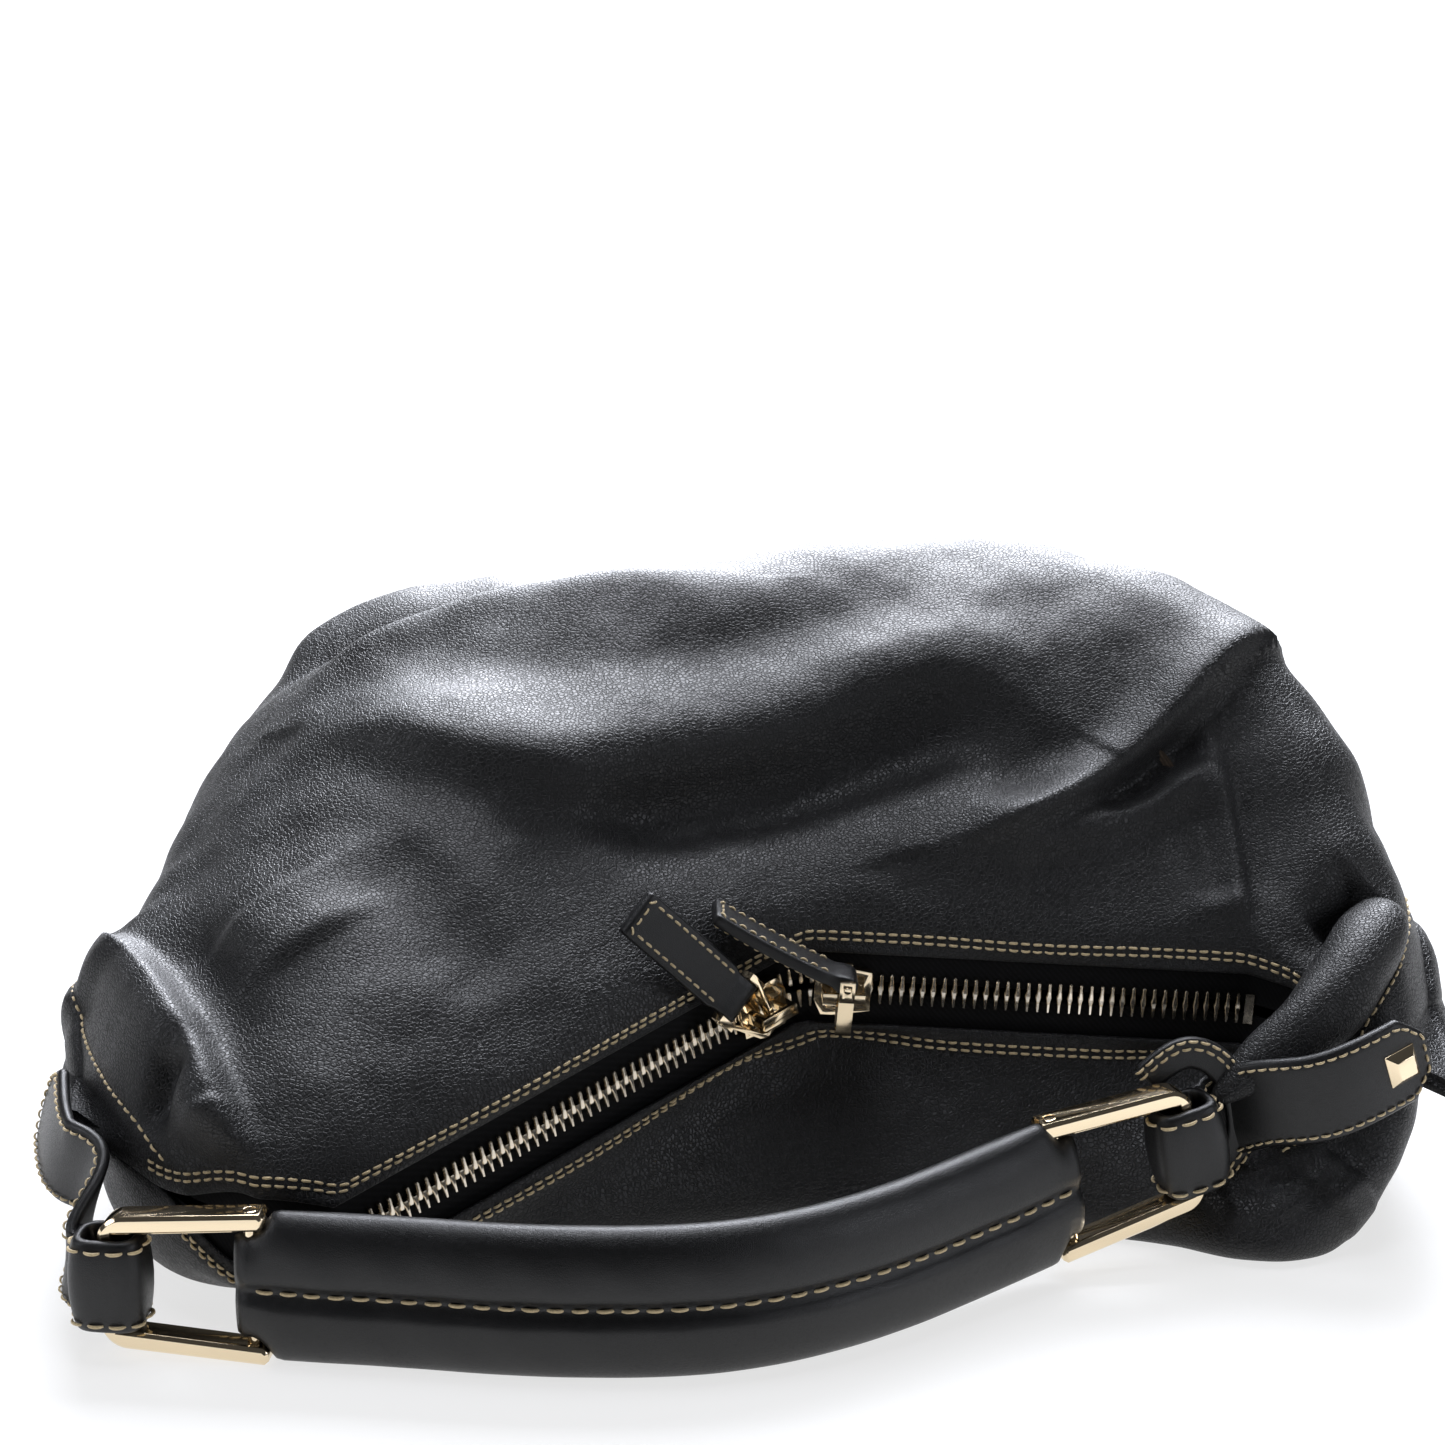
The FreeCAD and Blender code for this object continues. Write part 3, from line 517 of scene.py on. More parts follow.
def leather(name, base, light, rough, grain_mm, depth, wrinkle=0.3):
    """Chrome-tanned cowhide, drum dyed: rounded pebbles with fine valleys, dull in the valleys and darkened
    there by painted shade.
    """
    mat, tree, shader = new_material(name, base, rough, Specular_IOR_Level=0.5)
    place = add(tree, "ShaderNodeTexCoord")
    wobble = add(tree, "ShaderNodeTexNoise", {"Scale": 420.0, "Detail": 2.0}, Vector=place.outputs["Object"])
    shift = add(tree, "ShaderNodeVectorMath", {"operation": "SCALE", "Scale": 0.0009},
                i0=wobble.outputs["Color"])
    moved = add(tree, "ShaderNodeVectorMath", {"operation": "ADD"}, i0=place.outputs["Object"],
                i1=shift.outputs[0])
    cells = add(tree, "ShaderNodeTexVoronoi", {"feature": "DISTANCE_TO_EDGE", "Scale": 1000.0 / grain_mm},
                Vector=moved.outputs[0])
    pebble = ramp(tree, cells.outputs["Distance"], 0.0, 0.22, (0, 0, 0, 1), (1, 1, 1, 1))
    pebble.color_ramp.interpolation = "EASE"
    pores = add(tree, "ShaderNodeTexNoise", {"Scale": 2600.0, "Detail": 2.0}, Vector=place.outputs["Object"])
    broad = add(tree, "ShaderNodeTexNoise", {"Scale": 28.0, "Detail": 3.0}, Vector=place.outputs["Object"])
    worn = ramp(tree, broad.outputs["Fac"], 0.35, 0.7, base, light)
    # painted shade: the grain's valleys take 0.55 of the base colour, the pebble tops take the random tone
    tint = add(tree, "ShaderNodeMix", {"data_type": "RGBA"}, i0=pebble.outputs[0], i7=worn.outputs[0])
    tint.inputs[6].default_value = tuple(c * 0.55 for c in base[:3]) + (1,)
    tree.links.new(tint.outputs[2], shader.inputs["Base Color"])
    dull = add(tree, "ShaderNodeMapRange", {"From Min": 0.0, "From Max": 1.0, "To Min": min(rough + 0.18, 1),
                                            "To Max": rough}, Value=pebble.outputs[0])
    vary = add(tree, "ShaderNodeMath", {"operation": "MULTIPLY_ADD", 1: 0.12}, i0=broad.outputs["Fac"],
               i2=dull.outputs[0])
    tree.links.new(vary.outputs[0], shader.inputs["Roughness"])
    stretch = add(tree, "ShaderNodeTexNoise", {"Scale": 170.0, "Detail": 4.0, "Distortion": 0.6},
                  Vector=place.outputs["Object"])
    soft = add(tree, "ShaderNodeBump", {"Strength": 0.35, "Distance": wrinkle * MM},
               Height=stretch.outputs["Fac"])
    fine = add(tree, "ShaderNodeBump", {"Strength": 0.25, "Distance": 0.1 * MM}, Height=pores.outputs["Fac"],
               Normal=soft.outputs[0])
    bump = add(tree, "ShaderNodeBump", {"Strength": 0.8, "Distance": depth * MM}, Height=pebble.outputs[0],
               Normal=fine.outputs[0])
    tree.links.new(bump.outputs[0], shader.inputs["Normal"])
    return mat


def metal(name, base, rough):
    """Plated zinc casting: bright, with the faint waviness and hairline scuffs of polishing."""
    mat, tree, shader = new_material(name, base, rough, Metallic=1.0)
    place = add(tree, "ShaderNodeTexCoord")
    scuff = add(tree, "ShaderNodeTexNoise", {"Scale": 700.0, "Detail": 3.0}, Vector=place.outputs["Object"])
    vary = add(tree, "ShaderNodeMapRange", {"From Min": 0.3, "From Max": 0.7, "To Min": rough * 0.8,
                                            "To Max": rough * 1.5}, Value=scuff.outputs["Fac"])
    tree.links.new(vary.outputs[0], shader.inputs["Roughness"])
    wave = add(tree, "ShaderNodeTexNoise", {"Scale": 90.0, "Detail": 1.0}, Vector=place.outputs["Object"])
    bump = add(tree, "ShaderNodeBump", {"Strength": 0.12, "Distance": 0.2 * MM}, Height=wave.outputs["Fac"])
    tree.links.new(bump.outputs[0], shader.inputs["Normal"])
    return mat


def cloth(name, base, light, thread_mm, rough=0.9):
    """Cotton woven in a twill: diagonal ribs of thread, each with its own shade."""
    mat, tree, shader = new_material(name, base, rough, Specular_IOR_Level=0.25)
    place = add(tree, "ShaderNodeTexCoord")
    turn = add(tree, "ShaderNodeMapping", {"Rotation": (0.3, 0.5, 0.8)}, Vector=place.outputs["Object"])
    rib_scale = 1000.0 / (thread_mm * 6.283)
    ribs = add(tree, "ShaderNodeTexWave", {"Scale": rib_scale, "Distortion": 1.2, "Detail": 1.0},
               Vector=turn.outputs[0])
    fuzz = add(tree, "ShaderNodeTexNoise", {"Scale": 1500.0, "Detail": 2.0}, Vector=place.outputs["Object"])
    blend = add(tree, "ShaderNodeMath", {"operation": "MULTIPLY"}, i0=ribs.outputs["Fac"],
                i1=fuzz.outputs["Fac"])
    shade = ramp(tree, blend.outputs[0], 0.1, 0.6, base, light)
    tree.links.new(shade.outputs[0], shader.inputs["Base Color"])
    bump = add(tree, "ShaderNodeBump", {"Strength": 0.6, "Distance": 0.15 * MM}, Height=blend.outputs[0])
    tree.links.new(bump.outputs[0], shader.inputs["Normal"])
    return mat


def thread(name, base, light):
    """Waxed polyester thread in three plies: ribs slant across it."""
    mat, tree, shader = new_material(name, base, 0.55, Specular_IOR_Level=0.4, Sheen_Weight=0.2)
    place = add(tree, "ShaderNodeTexCoord")
    plies = add(tree, "ShaderNodeTexNoise", {"Scale": 1800.0, "Detail": 2.0}, Vector=place.outputs["Object"])
    shade = ramp(tree, plies.outputs["Fac"], 0.35, 0.65, base, light)
    tree.links.new(shade.outputs[0], shader.inputs["Base Color"])
    bump = add(tree, "ShaderNodeBump", {"Strength": 0.5, "Distance": 0.12 * MM}, Height=plies.outputs["Fac"])
    tree.links.new(bump.outputs[0], shader.inputs["Normal"])
    return mat


MATERIALS = {}


def rgba(value, lighter=1.0):
    """A colour setting as linear RGBA, lighter by a factor."""
    return tuple(min(c * lighter, 1.0) for c in value) + (1.0,)


def make_materials(look):
    MATERIALS.update(
        body=leather("Drummed cowhide, black", rgba(look.leather), rgba(look.leather, 2.2), 0.37,
                     look.grain * 1000, 0.16),
        strap=leather("Smooth cowhide, black", rgba(look.straps), rgba(look.straps, 2.2), 0.25,
                      0.5, 0.03, 0.10),
        gold=metal("Pale gold plate, polished", rgba(look.gold), 0.10),
        tooth=metal("Nickel-brass teeth, polished", rgba(look.teeth), 0.16),
        stitch=thread("Waxed thread, ecru", rgba(look.thread), rgba(look.thread, 1.3)),
        tape=cloth("Zipper tape, black twill", colour("#060607"), colour("#101012"), 0.5),
        lining=cloth("Lining, cotton twill", rgba(look.lining), rgba(look.lining, 2.0), 0.6),
        core=cloth("Cotton cord filling", colour("#b8ae9a"), colour("#d8cfbd"), 1.2),
    )


# ---- seams, stitches and teeth -----------------------------------------------------------
def along_path_tree():
    """Copies of one small object at an even pitch along a path, stood on its facing direction."""
    name = "Repeats along a path"
    if name in bpy.data.node_groups:
        return bpy.data.node_groups[name]
    tree = bpy.data.node_groups.new(name, "GeometryNodeTree")
    face = tree.interface
    face.new_socket("Path", in_out="INPUT", socket_type="NodeSocketGeometry")
    face.new_socket("Pitch", in_out="INPUT", socket_type="NodeSocketFloat").default_value = 3 * MM
    face.new_socket("Copy", in_out="INPUT", socket_type="NodeSocketObject")
    face.new_socket("Material", in_out="INPUT", socket_type="NodeSocketMaterial")
    face.new_socket("Unevenness", in_out="INPUT", socket_type="NodeSocketFloat").default_value = 0.04
    face.new_socket("Seed", in_out="INPUT", socket_type="NodeSocketInt").default_value = 3
    face.new_socket("Result", in_out="OUTPUT", socket_type="NodeSocketGeometry")
    inside = add(tree, "NodeGroupInput").outputs
    line = add(tree, "GeometryNodeMeshToCurve", Mesh=inside["Path"])
    points = add(tree, "GeometryNodeResampleCurve", {"mode": "LENGTH"}, Curve=line.outputs[0],
                 Length=inside["Pitch"])
    tangent = add(tree, "GeometryNodeInputTangent")
    facing = add(tree, "GeometryNodeInputNamedAttribute", {"data_type": "FLOAT_VECTOR", "Name": "facing"})
    first = add(tree, "FunctionNodeAlignRotationToVector", {"axis": "X"}, Vector=tangent.outputs[0])
    second = add(tree, "FunctionNodeAlignRotationToVector", {"axis": "Z", "pivot_axis": "X"},
                 Rotation=first.outputs[0], Vector=facing.outputs[0])
    jitter = add(tree, "FunctionNodeRandomValue", {"data_type": "FLOAT_VECTOR"}, Seed=inside["Seed"])
    jitter.inputs[0].default_value = (-1, -1, -1)
    jitter.inputs[1].default_value = (1, 1, 1)
    wobble = add(tree, "ShaderNodeVectorMath", {"operation": "SCALE"}, i0=jitter.outputs[0],
                 Scale=inside["Unevenness"])
    lean = add(tree, "FunctionNodeEulerToRotation", Euler=wobble.outputs[0])
    turned = add(tree, "FunctionNodeRotateRotation", {"rotation_space": "LOCAL"}, Rotation=second.outputs[0])
    tree.links.new(lean.outputs[0], turned.inputs[1])
    item = add(tree, "GeometryNodeObjectInfo", Object=inside["Copy"])
    copies = add(tree, "GeometryNodeInstanceOnPoints", Points=points.outputs[0],
                 Instance=item.outputs["Geometry"], Rotation=turned.outputs[0])
    real = add(tree, "GeometryNodeRealizeInstances", Geometry=copies.outputs[0])
    dressed = add(tree, "GeometryNodeSetMaterial", Geometry=real.outputs[0], Material=inside["Material"])
    add(tree, "NodeGroupOutput", Result=dressed.outputs[0])
    return tree


def repeats(name, lines, item, pitch, material, uneven=0.04, seed=3):
    """Plain mesh of an item repeated along lines, each a list of points and their facings, in mm."""
    verts, edges, faces = [], [], []
    for points, normals in lines:
        start = len(verts)
        verts += [tuple(np.asarray(p) * MM) for p in points]
        faces += [tuple(n) for n in normals]
        edges += [(start + i, start + i + 1) for i in range(len(points) - 1)]
    mesh = bpy.data.meshes.new(name)
    mesh.from_pydata(verts, edges, [])
    facing = mesh.attributes.new("facing", "FLOAT_VECTOR", "POINT")
    facing.data.foreach_set("vector", np.array(faces, np.float32).ravel())
    obj = bpy.data.objects.new(name, mesh)
    bpy.context.scene.collection.objects.link(obj)
    tree = along_path_tree()
    made = obj.modifiers.new("Repeats", "NODES")
    made.node_group = tree
    keys = {s.name: s.identifier for s in tree.interface.items_tree if s.in_out == "INPUT"}
    made[keys["Pitch"]] = pitch * MM
    made[keys["Copy"]] = item
    made[keys["Material"]] = material
    made[keys["Unevenness"]] = uneven
    made[keys["Seed"]] = seed
    finish_modifiers(obj)
    for attribute in [a.name for a in obj.data.attributes if a.name == "facing"]:
        obj.data.attributes.remove(obj.data.attributes[attribute])
    obj.data.polygons.foreach_set("use_smooth", [True] * len(obj.data.polygons))
    return obj


def stitch_item(length, radius, arch=0.5):
    """One stitch: a short arched thread whose ends dive into the leather."""
    name = "stitch_%d_%d" % (length * 100, radius * 100)
    if name in bpy.data.objects:
        return bpy.data.objects[name]
    rings = []
    for k in range(7):
        s = k / 6 * 2 - 1
        x = s * length / 2
        z = arch * radius * (1 - s * s) * 2 - radius * 0.9 * abs(s) ** 3
        r = radius * (1 - 0.35 * s ** 4)
        rings.append([(x, r * 1.05 * math.cos(a), z + r * math.sin(a)) for a in np.arange(6) * math.pi / 3])
    obj = tube(name, rings, MATERIALS["stitch"])
    obj.hide_render = True
    TEMPLATES.append(obj)
    return obj


TEMPLATES = []


# ---- pieces ------------------------------------------------------------------------------
SKIN = {}


def make_body():
    grid, seam = skin()
    SKIN.update(grid=grid, seam=seam, normals=grid_normals(grid))
    rows = len(grid)
    for name, part, node in (("leather_front", grid[:, :seam + 1], "front_panel"),
                             ("leather_back", grid[:, seam:], "back_panel")):
        cols = part.shape[1]
        obj = piece(name, part.reshape(-1, 3), grid_faces(rows, cols, flip=True), MATERIALS["body"])
        weld_ends(obj)
        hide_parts(node)
        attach(obj, "root")
    inner = grid - SKIN["normals"] * 2.4
    inner = inner[CAP_RINGS:-CAP_RINGS:3, 8:-8:3]
    half = inner.shape[1] // 2
    for name, part, node in (("lining_cloth_front", inner[:, :half + 1], "lining_front"),
                             ("lining_cloth_back", inner[:, half:], "lining_back")):
        obj = piece(name, part.reshape(-1, 3), grid_faces(len(part), part.shape[1]), MATERIALS["lining"])
        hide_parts(node)
        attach(obj, "root")


ROLL = [(171, 6, 76), (169, -8, 77), (160, -24, 70), (148, -35, 60), (133, -42, 50), (121, -46, 41)]
ROLL_RADIUS = 10.0
SIDE_SEAMS = {
    "left": [(-177, -8, 57), (-173, -28, 56), (-166, -55, 55), (-155, -77, 51), (-147, -88, 44)],
    "right": [(139, -47, 38), (154, -40, 50), (167, -27, 62), (176, -8, 71), (180, 12, 76)],
}


def make_roll():
    """Soft roll of spare leather that hangs over the zipper's right end."""
    line = smooth_path([np.array(p, float) for p in ROLL], 110)
    rings = []
    for i, p in enumerate(line):
        t = i / (len(line) - 1)
        along = unit(line[min(i + 1, len(line) - 1)] - line[max(i - 1, 0)])
        up = np.array((0.1, -0.62, 0.78))
        up = unit(up - along * (up @ along))
        out = np.cross(along, up)
        r = ROLL_RADIUS * (1 - abs(2 * t - 1) ** 2.4) ** 0.6 * (1.12 - 0.35 * t) + 0.3
        ring = []
        for a in np.arange(48) * 2 * math.pi / 48:
            dent = 1 + 0.05 * math.sin(3 * a + 7 * t) + 0.04 * math.sin(2 * a - 16 * t) * math.sin(9 * t)
            ring.append(p + out * (math.cos(a) * r * dent) + up * (math.sin(a) * r * 0.82 * dent - 0.18 * r))
        rings.append(ring)
    obj = tube("leather_roll_right", rings, MATERIALS["body"])
    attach(obj, "root")


def laid_on_skin(path, count):
    """A smooth line through some points, dropped onto the skin, with the skin's facings."""
    flat = SKIN["grid"].reshape(-1, 3)
    faces = SKIN["normals"].reshape(-1, 3)
    points, facings = [], []
    for p in smooth_path([np.array(q, float) for q in path], count):
        gaps = ((flat - p) ** 2).sum(axis=1)
        near = np.argsort(gaps)[:12]
        face = unit(faces[near].mean(axis=0))
        points.append(p - face * ((p - flat[near[0]]) @ face))
        facings.append(face)
    return points, facings


def make_side_seams():
    lines = [laid_on_skin(path, 60) for path in SIDE_SEAMS.values()]
    obj = repeats("side_seam_stitches", lines, stitch_item(2.6, 0.36), 3.4, MATERIALS["stitch"], 0.08)
    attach(obj, "root")


def weld_ends(obj):
    bm = bmesh.new()
    bm.from_mesh(obj.data)
    bmesh.ops.remove_doubles(bm, verts=bm.verts, dist=0.004 * MM)
    bmesh.ops.dissolve_degenerate(bm, edges=bm.edges, dist=0.002 * MM)
    bm.to_mesh(obj.data)
    bm.free()
    obj.data.polygons.foreach_set("use_smooth", [True] * len(obj.data.polygons))


def skin_line(side, offset, x0, x1):
    """Line on the leather beside the mouth, at a distance from the lip, with its facings."""
    grid = SKIN["grid"][CAP_RINGS:-CAP_RINGS]
    normals = SKIN["normals"][CAP_RINGS:-CAP_RINGS]
    points, facings = [], []
    lead = len(LIP_TURN) - 1
    for row, face in zip(grid, normals):
        if not x0 <= row[lead if side > 0 else -1 - lead][0] <= x1:
            continue
        line = row[lead:lead + 40] if side > 0 else row[::-1][lead:lead + 40]
        look = face[lead:lead + 40] if side > 0 else face[::-1][lead:lead + 40]
        arc = np.concatenate([[0], np.cumsum(np.linalg.norm(np.diff(line, axis=0), axis=1))])
        k = int(np.clip(np.searchsorted(arc, offset) - 1, 0, len(arc) - 2))
        t = (offset - arc[k]) / (arc[k + 1] - arc[k])
        points.append(line[k] * (1 - t) + line[k + 1] * t)
        facings.append(unit(look[k] + look[k + 1]))
    return points, facings


def make_mouth_seams():
    item = stitch_item(2.6, 0.36)
    lines = []
    for side, x0, x1 in ((1, -150, 150), (-1, -146, 146)):
        for offset in (3.4, 5.3):
            lines.append(skin_line(side, offset, x0, x1))
    obj = repeats("mouth_stitches", lines, item, 3.2, MATERIALS["stitch"], 0.07)
    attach(obj, "root")
    for side, node in ((1, "zipper_tape_upper"), (-1, "zipper_tape_lower")):
        make_tape(side, node)


def make_tape(side, node):
    """Woven tape: thin band with a corded inner edge, following the mouth."""
    xs = np.linspace(-150, 161, 150)
    rings = []
    for x in xs:
        fr = mouth_at(x)
        wide = min(13.4, lip_half(x) + 2.9)
        outer = [(1.5, -2.9), (1.8, -2.35), (2.7, -2.4), (5, -2.5), (wide, -2.55)]
        under = [(wide, -3.3), (5, -3.35), (2.7, -3.4), (1.8, -3.45)]
        rings.append([at(fr, 0, w * side, n) for w, n in outer + under])
    obj = tube("tape_" + ("upper" if side > 0 else "lower"), rings, MATERIALS["tape"])
    obj.data.set_sharp_from_angle(angle=math.radians(50))
    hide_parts(node)
    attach(obj, "root")


TOOTH_PITCH = 2.8
SLIDER_AT = {"left": -13.0, "right": 11.5}
PARTED = 1.75
TOOTH_DEPTH = 2.9
CHAIN_START = 4.0
PARTED_SHORT_OF_SLIDER = 2.9


def tooth_item():
    """One die-cast tooth: two legs on the tape and a rounded, dimpled head over the middle."""
    rings = []
    outline = [(-0.9, 0.62), (-0.2, 0.80), (0.9, 0.62), (1.9, 0.52), (3.0, 0.5), (4.0, 0.46), (4.3, 0.3)]
    for w, half in outline:
        top = 2.15 if w > 0.5 else 1.9
        if w > 4.1:
            top = 1.8
        rings.append([(x, w, z - TOOTH_DEPTH) for x, z in (
            (-half, -top + 0.3), (-half + 0.25, -top), (half - 0.25, -top), (half, -top + 0.3),
            (half, top - 0.3), (half - 0.25, top), (-half + 0.25, top), (-half, top - 0.3))])
    obj = tube("tooth", rings, MATERIALS["tooth"])
    TEMPLATES.append(obj)
    return obj


def make_teeth():
    item = tooth_item()
    for side, node in ((1, "zipper_teeth_upper"), (-1, "zipper_teeth_lower")):
        points, facings = [], []
        start = CHAIN_START + (0 if side > 0 else TOOTH_PITCH / 2)
        left = np.linalg.norm(BEND - LEFT_RUN_END)
        right = np.linalg.norm(RIGHT_RUN_END - BEND)
        for s in np.arange(start, left + right - 1.0, 0.7):
            run = LEFT_RUN if s < left else RIGHT_RUN
            x = s - left
            fr = mouth_at(at(run, x, 0, 0)[0])
            near = (SLIDER_AT["left"] + PARTED_SHORT_OF_SLIDER < x
                    < SLIDER_AT["right"] - PARTED_SHORT_OF_SLIDER)
            apart = PARTED if near else 0.0
            points.append(at(fr, 0, side * apart, 0))
            facings.append(fr.out)
        if side < 0:
            points, facings = points[::-1], facings[::-1]
        obj = repeats("teeth_" + ("upper" if side > 0 else "lower"), [(points, facings)], item, TOOTH_PITCH,
                      MATERIALS["tooth"], 0.015, 9)
        obj.data.set_sharp_from_angle(angle=math.radians(40))
        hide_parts(node)
        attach(obj, "root")


def paint_nodes():
    """The CAD nodes that stay get their finish."""
    for name, key in (("zipper_end_stops", "tooth"), ("inner_pocket", "lining"), ("grip_cores", "core")):
        data = frame["nodes"][name].data
        data.materials.clear()
        data.materials.append(MATERIALS[key])


def make_hardware():
    """Sliders, links, pins, rings and studs, their edges eased as polishing leaves them."""
    for node, body, width in (
            ("slider_left", "slider_left", 0.35), ("slider_right", "slider_right", 0.35),
            ("puller_link_left", "link_left", 0.25), ("puller_link_right", "link_right", 0.25),
            ("puller_pin_left", "link_left", 0.2), ("puller_pin_right", "link_right", 0.2),
            ("ring_left", "ring_left", 0.3), ("ring_right", "ring_right", 0.3),
            ("ring_pin_left", "ring_left", 0.3), ("ring_pin_right", "ring_right", 0.3),
            ("tab_stud_left", "root", 0.2), ("tab_stud_right", "root", 0.2)):
        obj = bevelled_copy(node, "polished_" + node, MATERIALS["gold"], width)
        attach(obj, body)


# ---- straps ------------------------------------------------------------------------------
def strap(name, centres, ups, halves, thick, material, crown=0.5):
    """Flat strap along a line: rounded edges and a slightly crowned face."""
    n = len(centres)
    rings = []
    frames = []
    for i in range(n):
        along = unit(centres[min(i + 1, n - 1)] - centres[max(i - 1, 0)])
        up = unit(ups[i] - along * (ups[i] @ along))
        fr = Frame(centres[i], along, up, np.cross(along, up))
        frames.append(fr)
        h, t = halves[i], thick / 2
        section = []
        for y in (-1, -0.93, -0.7, -0.35, 0, 0.35, 0.7, 0.93, 1):
            edge = t * (0.45 if abs(y) == 1 else 1.0)
            section.append((y * h, edge + crown * (1 - y * y) * (abs(y) < 1)))
        section += [(y, -z * 0.9) for y, z in reversed(section)]
        rings.append([at(fr, 0, y, z) for y, z in section])
    return tube(name, rings, material), frames


def edge_lines(frames, halves, inset, lift):
    """Stitch line round a strap's face, inset from its edges."""
    top = [(at(f, 0, h - inset, lift), f.out) for f, h in zip(frames, halves)]
    low = [(at(f, 0, -h + inset, lift), f.out) for f, h in zip(frames, halves)]
    return top + low[::-1]


SWING_LEFT = np.array((-161, -86, 33.0))
SWING_RIGHT = np.array((131, -42, 40.0))
TABS = {
    "left": ([(-165, -81, 34.2), (-173, -72, 36.5), (-178.5, -59, 40), (-181, -44, 43)], (0.36, -0.33, 0.87)),
    "right": ([(133.5, -46, 40.5), (146, -52, 44.5), (160, -51, 49.5), (176, -43, 55)], (-0.15, 0, 1)),
}
BARS = {"left": (np.array((-157, -106, 20.4)), np.array((-0.993, 0.118, 0))),
        "right": (np.array((114, -52, 32.0)), np.array((0.93, 0.30, 0.20)))}


def ring_frame(bar, towards):
    d = -unit(towards)
    up = unit(UP - d * d[2])
    return Frame(bar, d, up, np.cross(d, up))


RINGS = {side: ring_frame(*BARS[side]) for side in BARS}
KEEPER_LONG = 19.0
KEEPER_DEEP = 16.0
KEEPER_HIGH = 24.4


def make_straps():
    small = stitch_item(2.5, 0.33)
    big = stitch_item(4.2, 0.45)
    for side in ("left", "right"):
        points, lean = TABS[side]
        lean = unit(lean)
        fr = RINGS[side]
        swing = SWING_LEFT if side == "left" else SWING_RIGHT
        root = np.array(points[0], float)
        behind = 4.5 if fr.out[1] > 0 else -4.5
        back = at(fr, -3.0, 0, behind)
        bow = at(fr, -12.0, 0, behind * 1.7)
        path = [back, bow] + [np.array(p, float) for p in points]
        line = smooth_path(path, 70)
        run = np.concatenate([[0], np.cumsum(np.linalg.norm(np.diff(line, axis=0), axis=1))])
        left = run[-1] - run
        half = np.minimum(12.0, 5.5 + left * 0.95)
        half[-1] = 5.0
        ups = [unit(fr.up * (1 - t) + lean * t) for t in np.clip(run / run[-1] * 2.2, 0, 1)]
        obj, frames = strap("tab_strap_" + side, line, ups, half, 3.0, MATERIALS["strap"], 0.35)
        # the outer face is the one away from the bag
        outward = 1 if frames[-1].out @ (line[-1] - np.array((0, 40, 60))) > 0 else -1
        faces = [f._replace(out=f.out * outward) for f in frames]
        keep = left > 0.5
        used = [f for f, k in zip(faces, keep) if k]
        loop = edge_lines(used, half[keep], 1.9, 1.78)
        pts = [p for p, _ in loop]
        nrm = [n for _, n in loop]
        seams = repeats("tab_stitches_" + side, [(pts[8:-8], nrm[8:-8])], small, 3.1,
                        MATERIALS["stitch"], 0.06)
        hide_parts("tab_" + side)
        start = swing + (root - swing) * 0.5 + unit(root - swing) * 3
        end = swing + unit(back - swing) * 10
        for o, name in ((obj, "strap_leather"), (seams, "strap_leather")):
            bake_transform(o, "root", "keepers", start=tuple(start * MM), end=tuple(end * MM))
        make_keeper(side, fr, big)


# Arch in the right ring's frame: along the ring, up its bar, and how far behind.
ARCH = [(5, 17.0, 9), (-2, 20, 9), (-8, 20.5, 8.5), (-14, 16.5, 7), (-17.4, 9, 5.5), (-18, 1, 5),
        (-16, -8, 5.5), (-10, -14, 7)]
ARCH_HALF = 4.2


def make_arch():
    """Outer turn of the right strap, standing proud behind its keeper, with two rows of stitches."""
    fr = RINGS["right"]
    behind = 1 if fr.out[1] > 0 else -1
    line = smooth_path([at(fr, x, y, z * behind) for x, y, z in ARCH], 60)
    middle = at(fr, -2, 2, 7 * behind)
    ups = [unit(p - middle) for p in line]
    obj, frames = strap("strap_arch_right", line, ups, [ARCH_HALF] * len(line), 2.6, MATERIALS["strap"], 0.2)
    front = -1 if frames[30].up @ (fr.out * behind) > 0 else 1
    rows = []
    for inset in (0.9, 2.9):
        rows.append(([at(f, 0, front * (ARCH_HALF - inset), 1.5) for f in frames], [f.out for f in frames]))
    seams = repeats("arch_stitches_right", rows, stitch_item(2.7, 0.36), 3.2, MATERIALS["stitch"], 0.07)
    for o in (obj, seams):
        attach(o, "keepers")


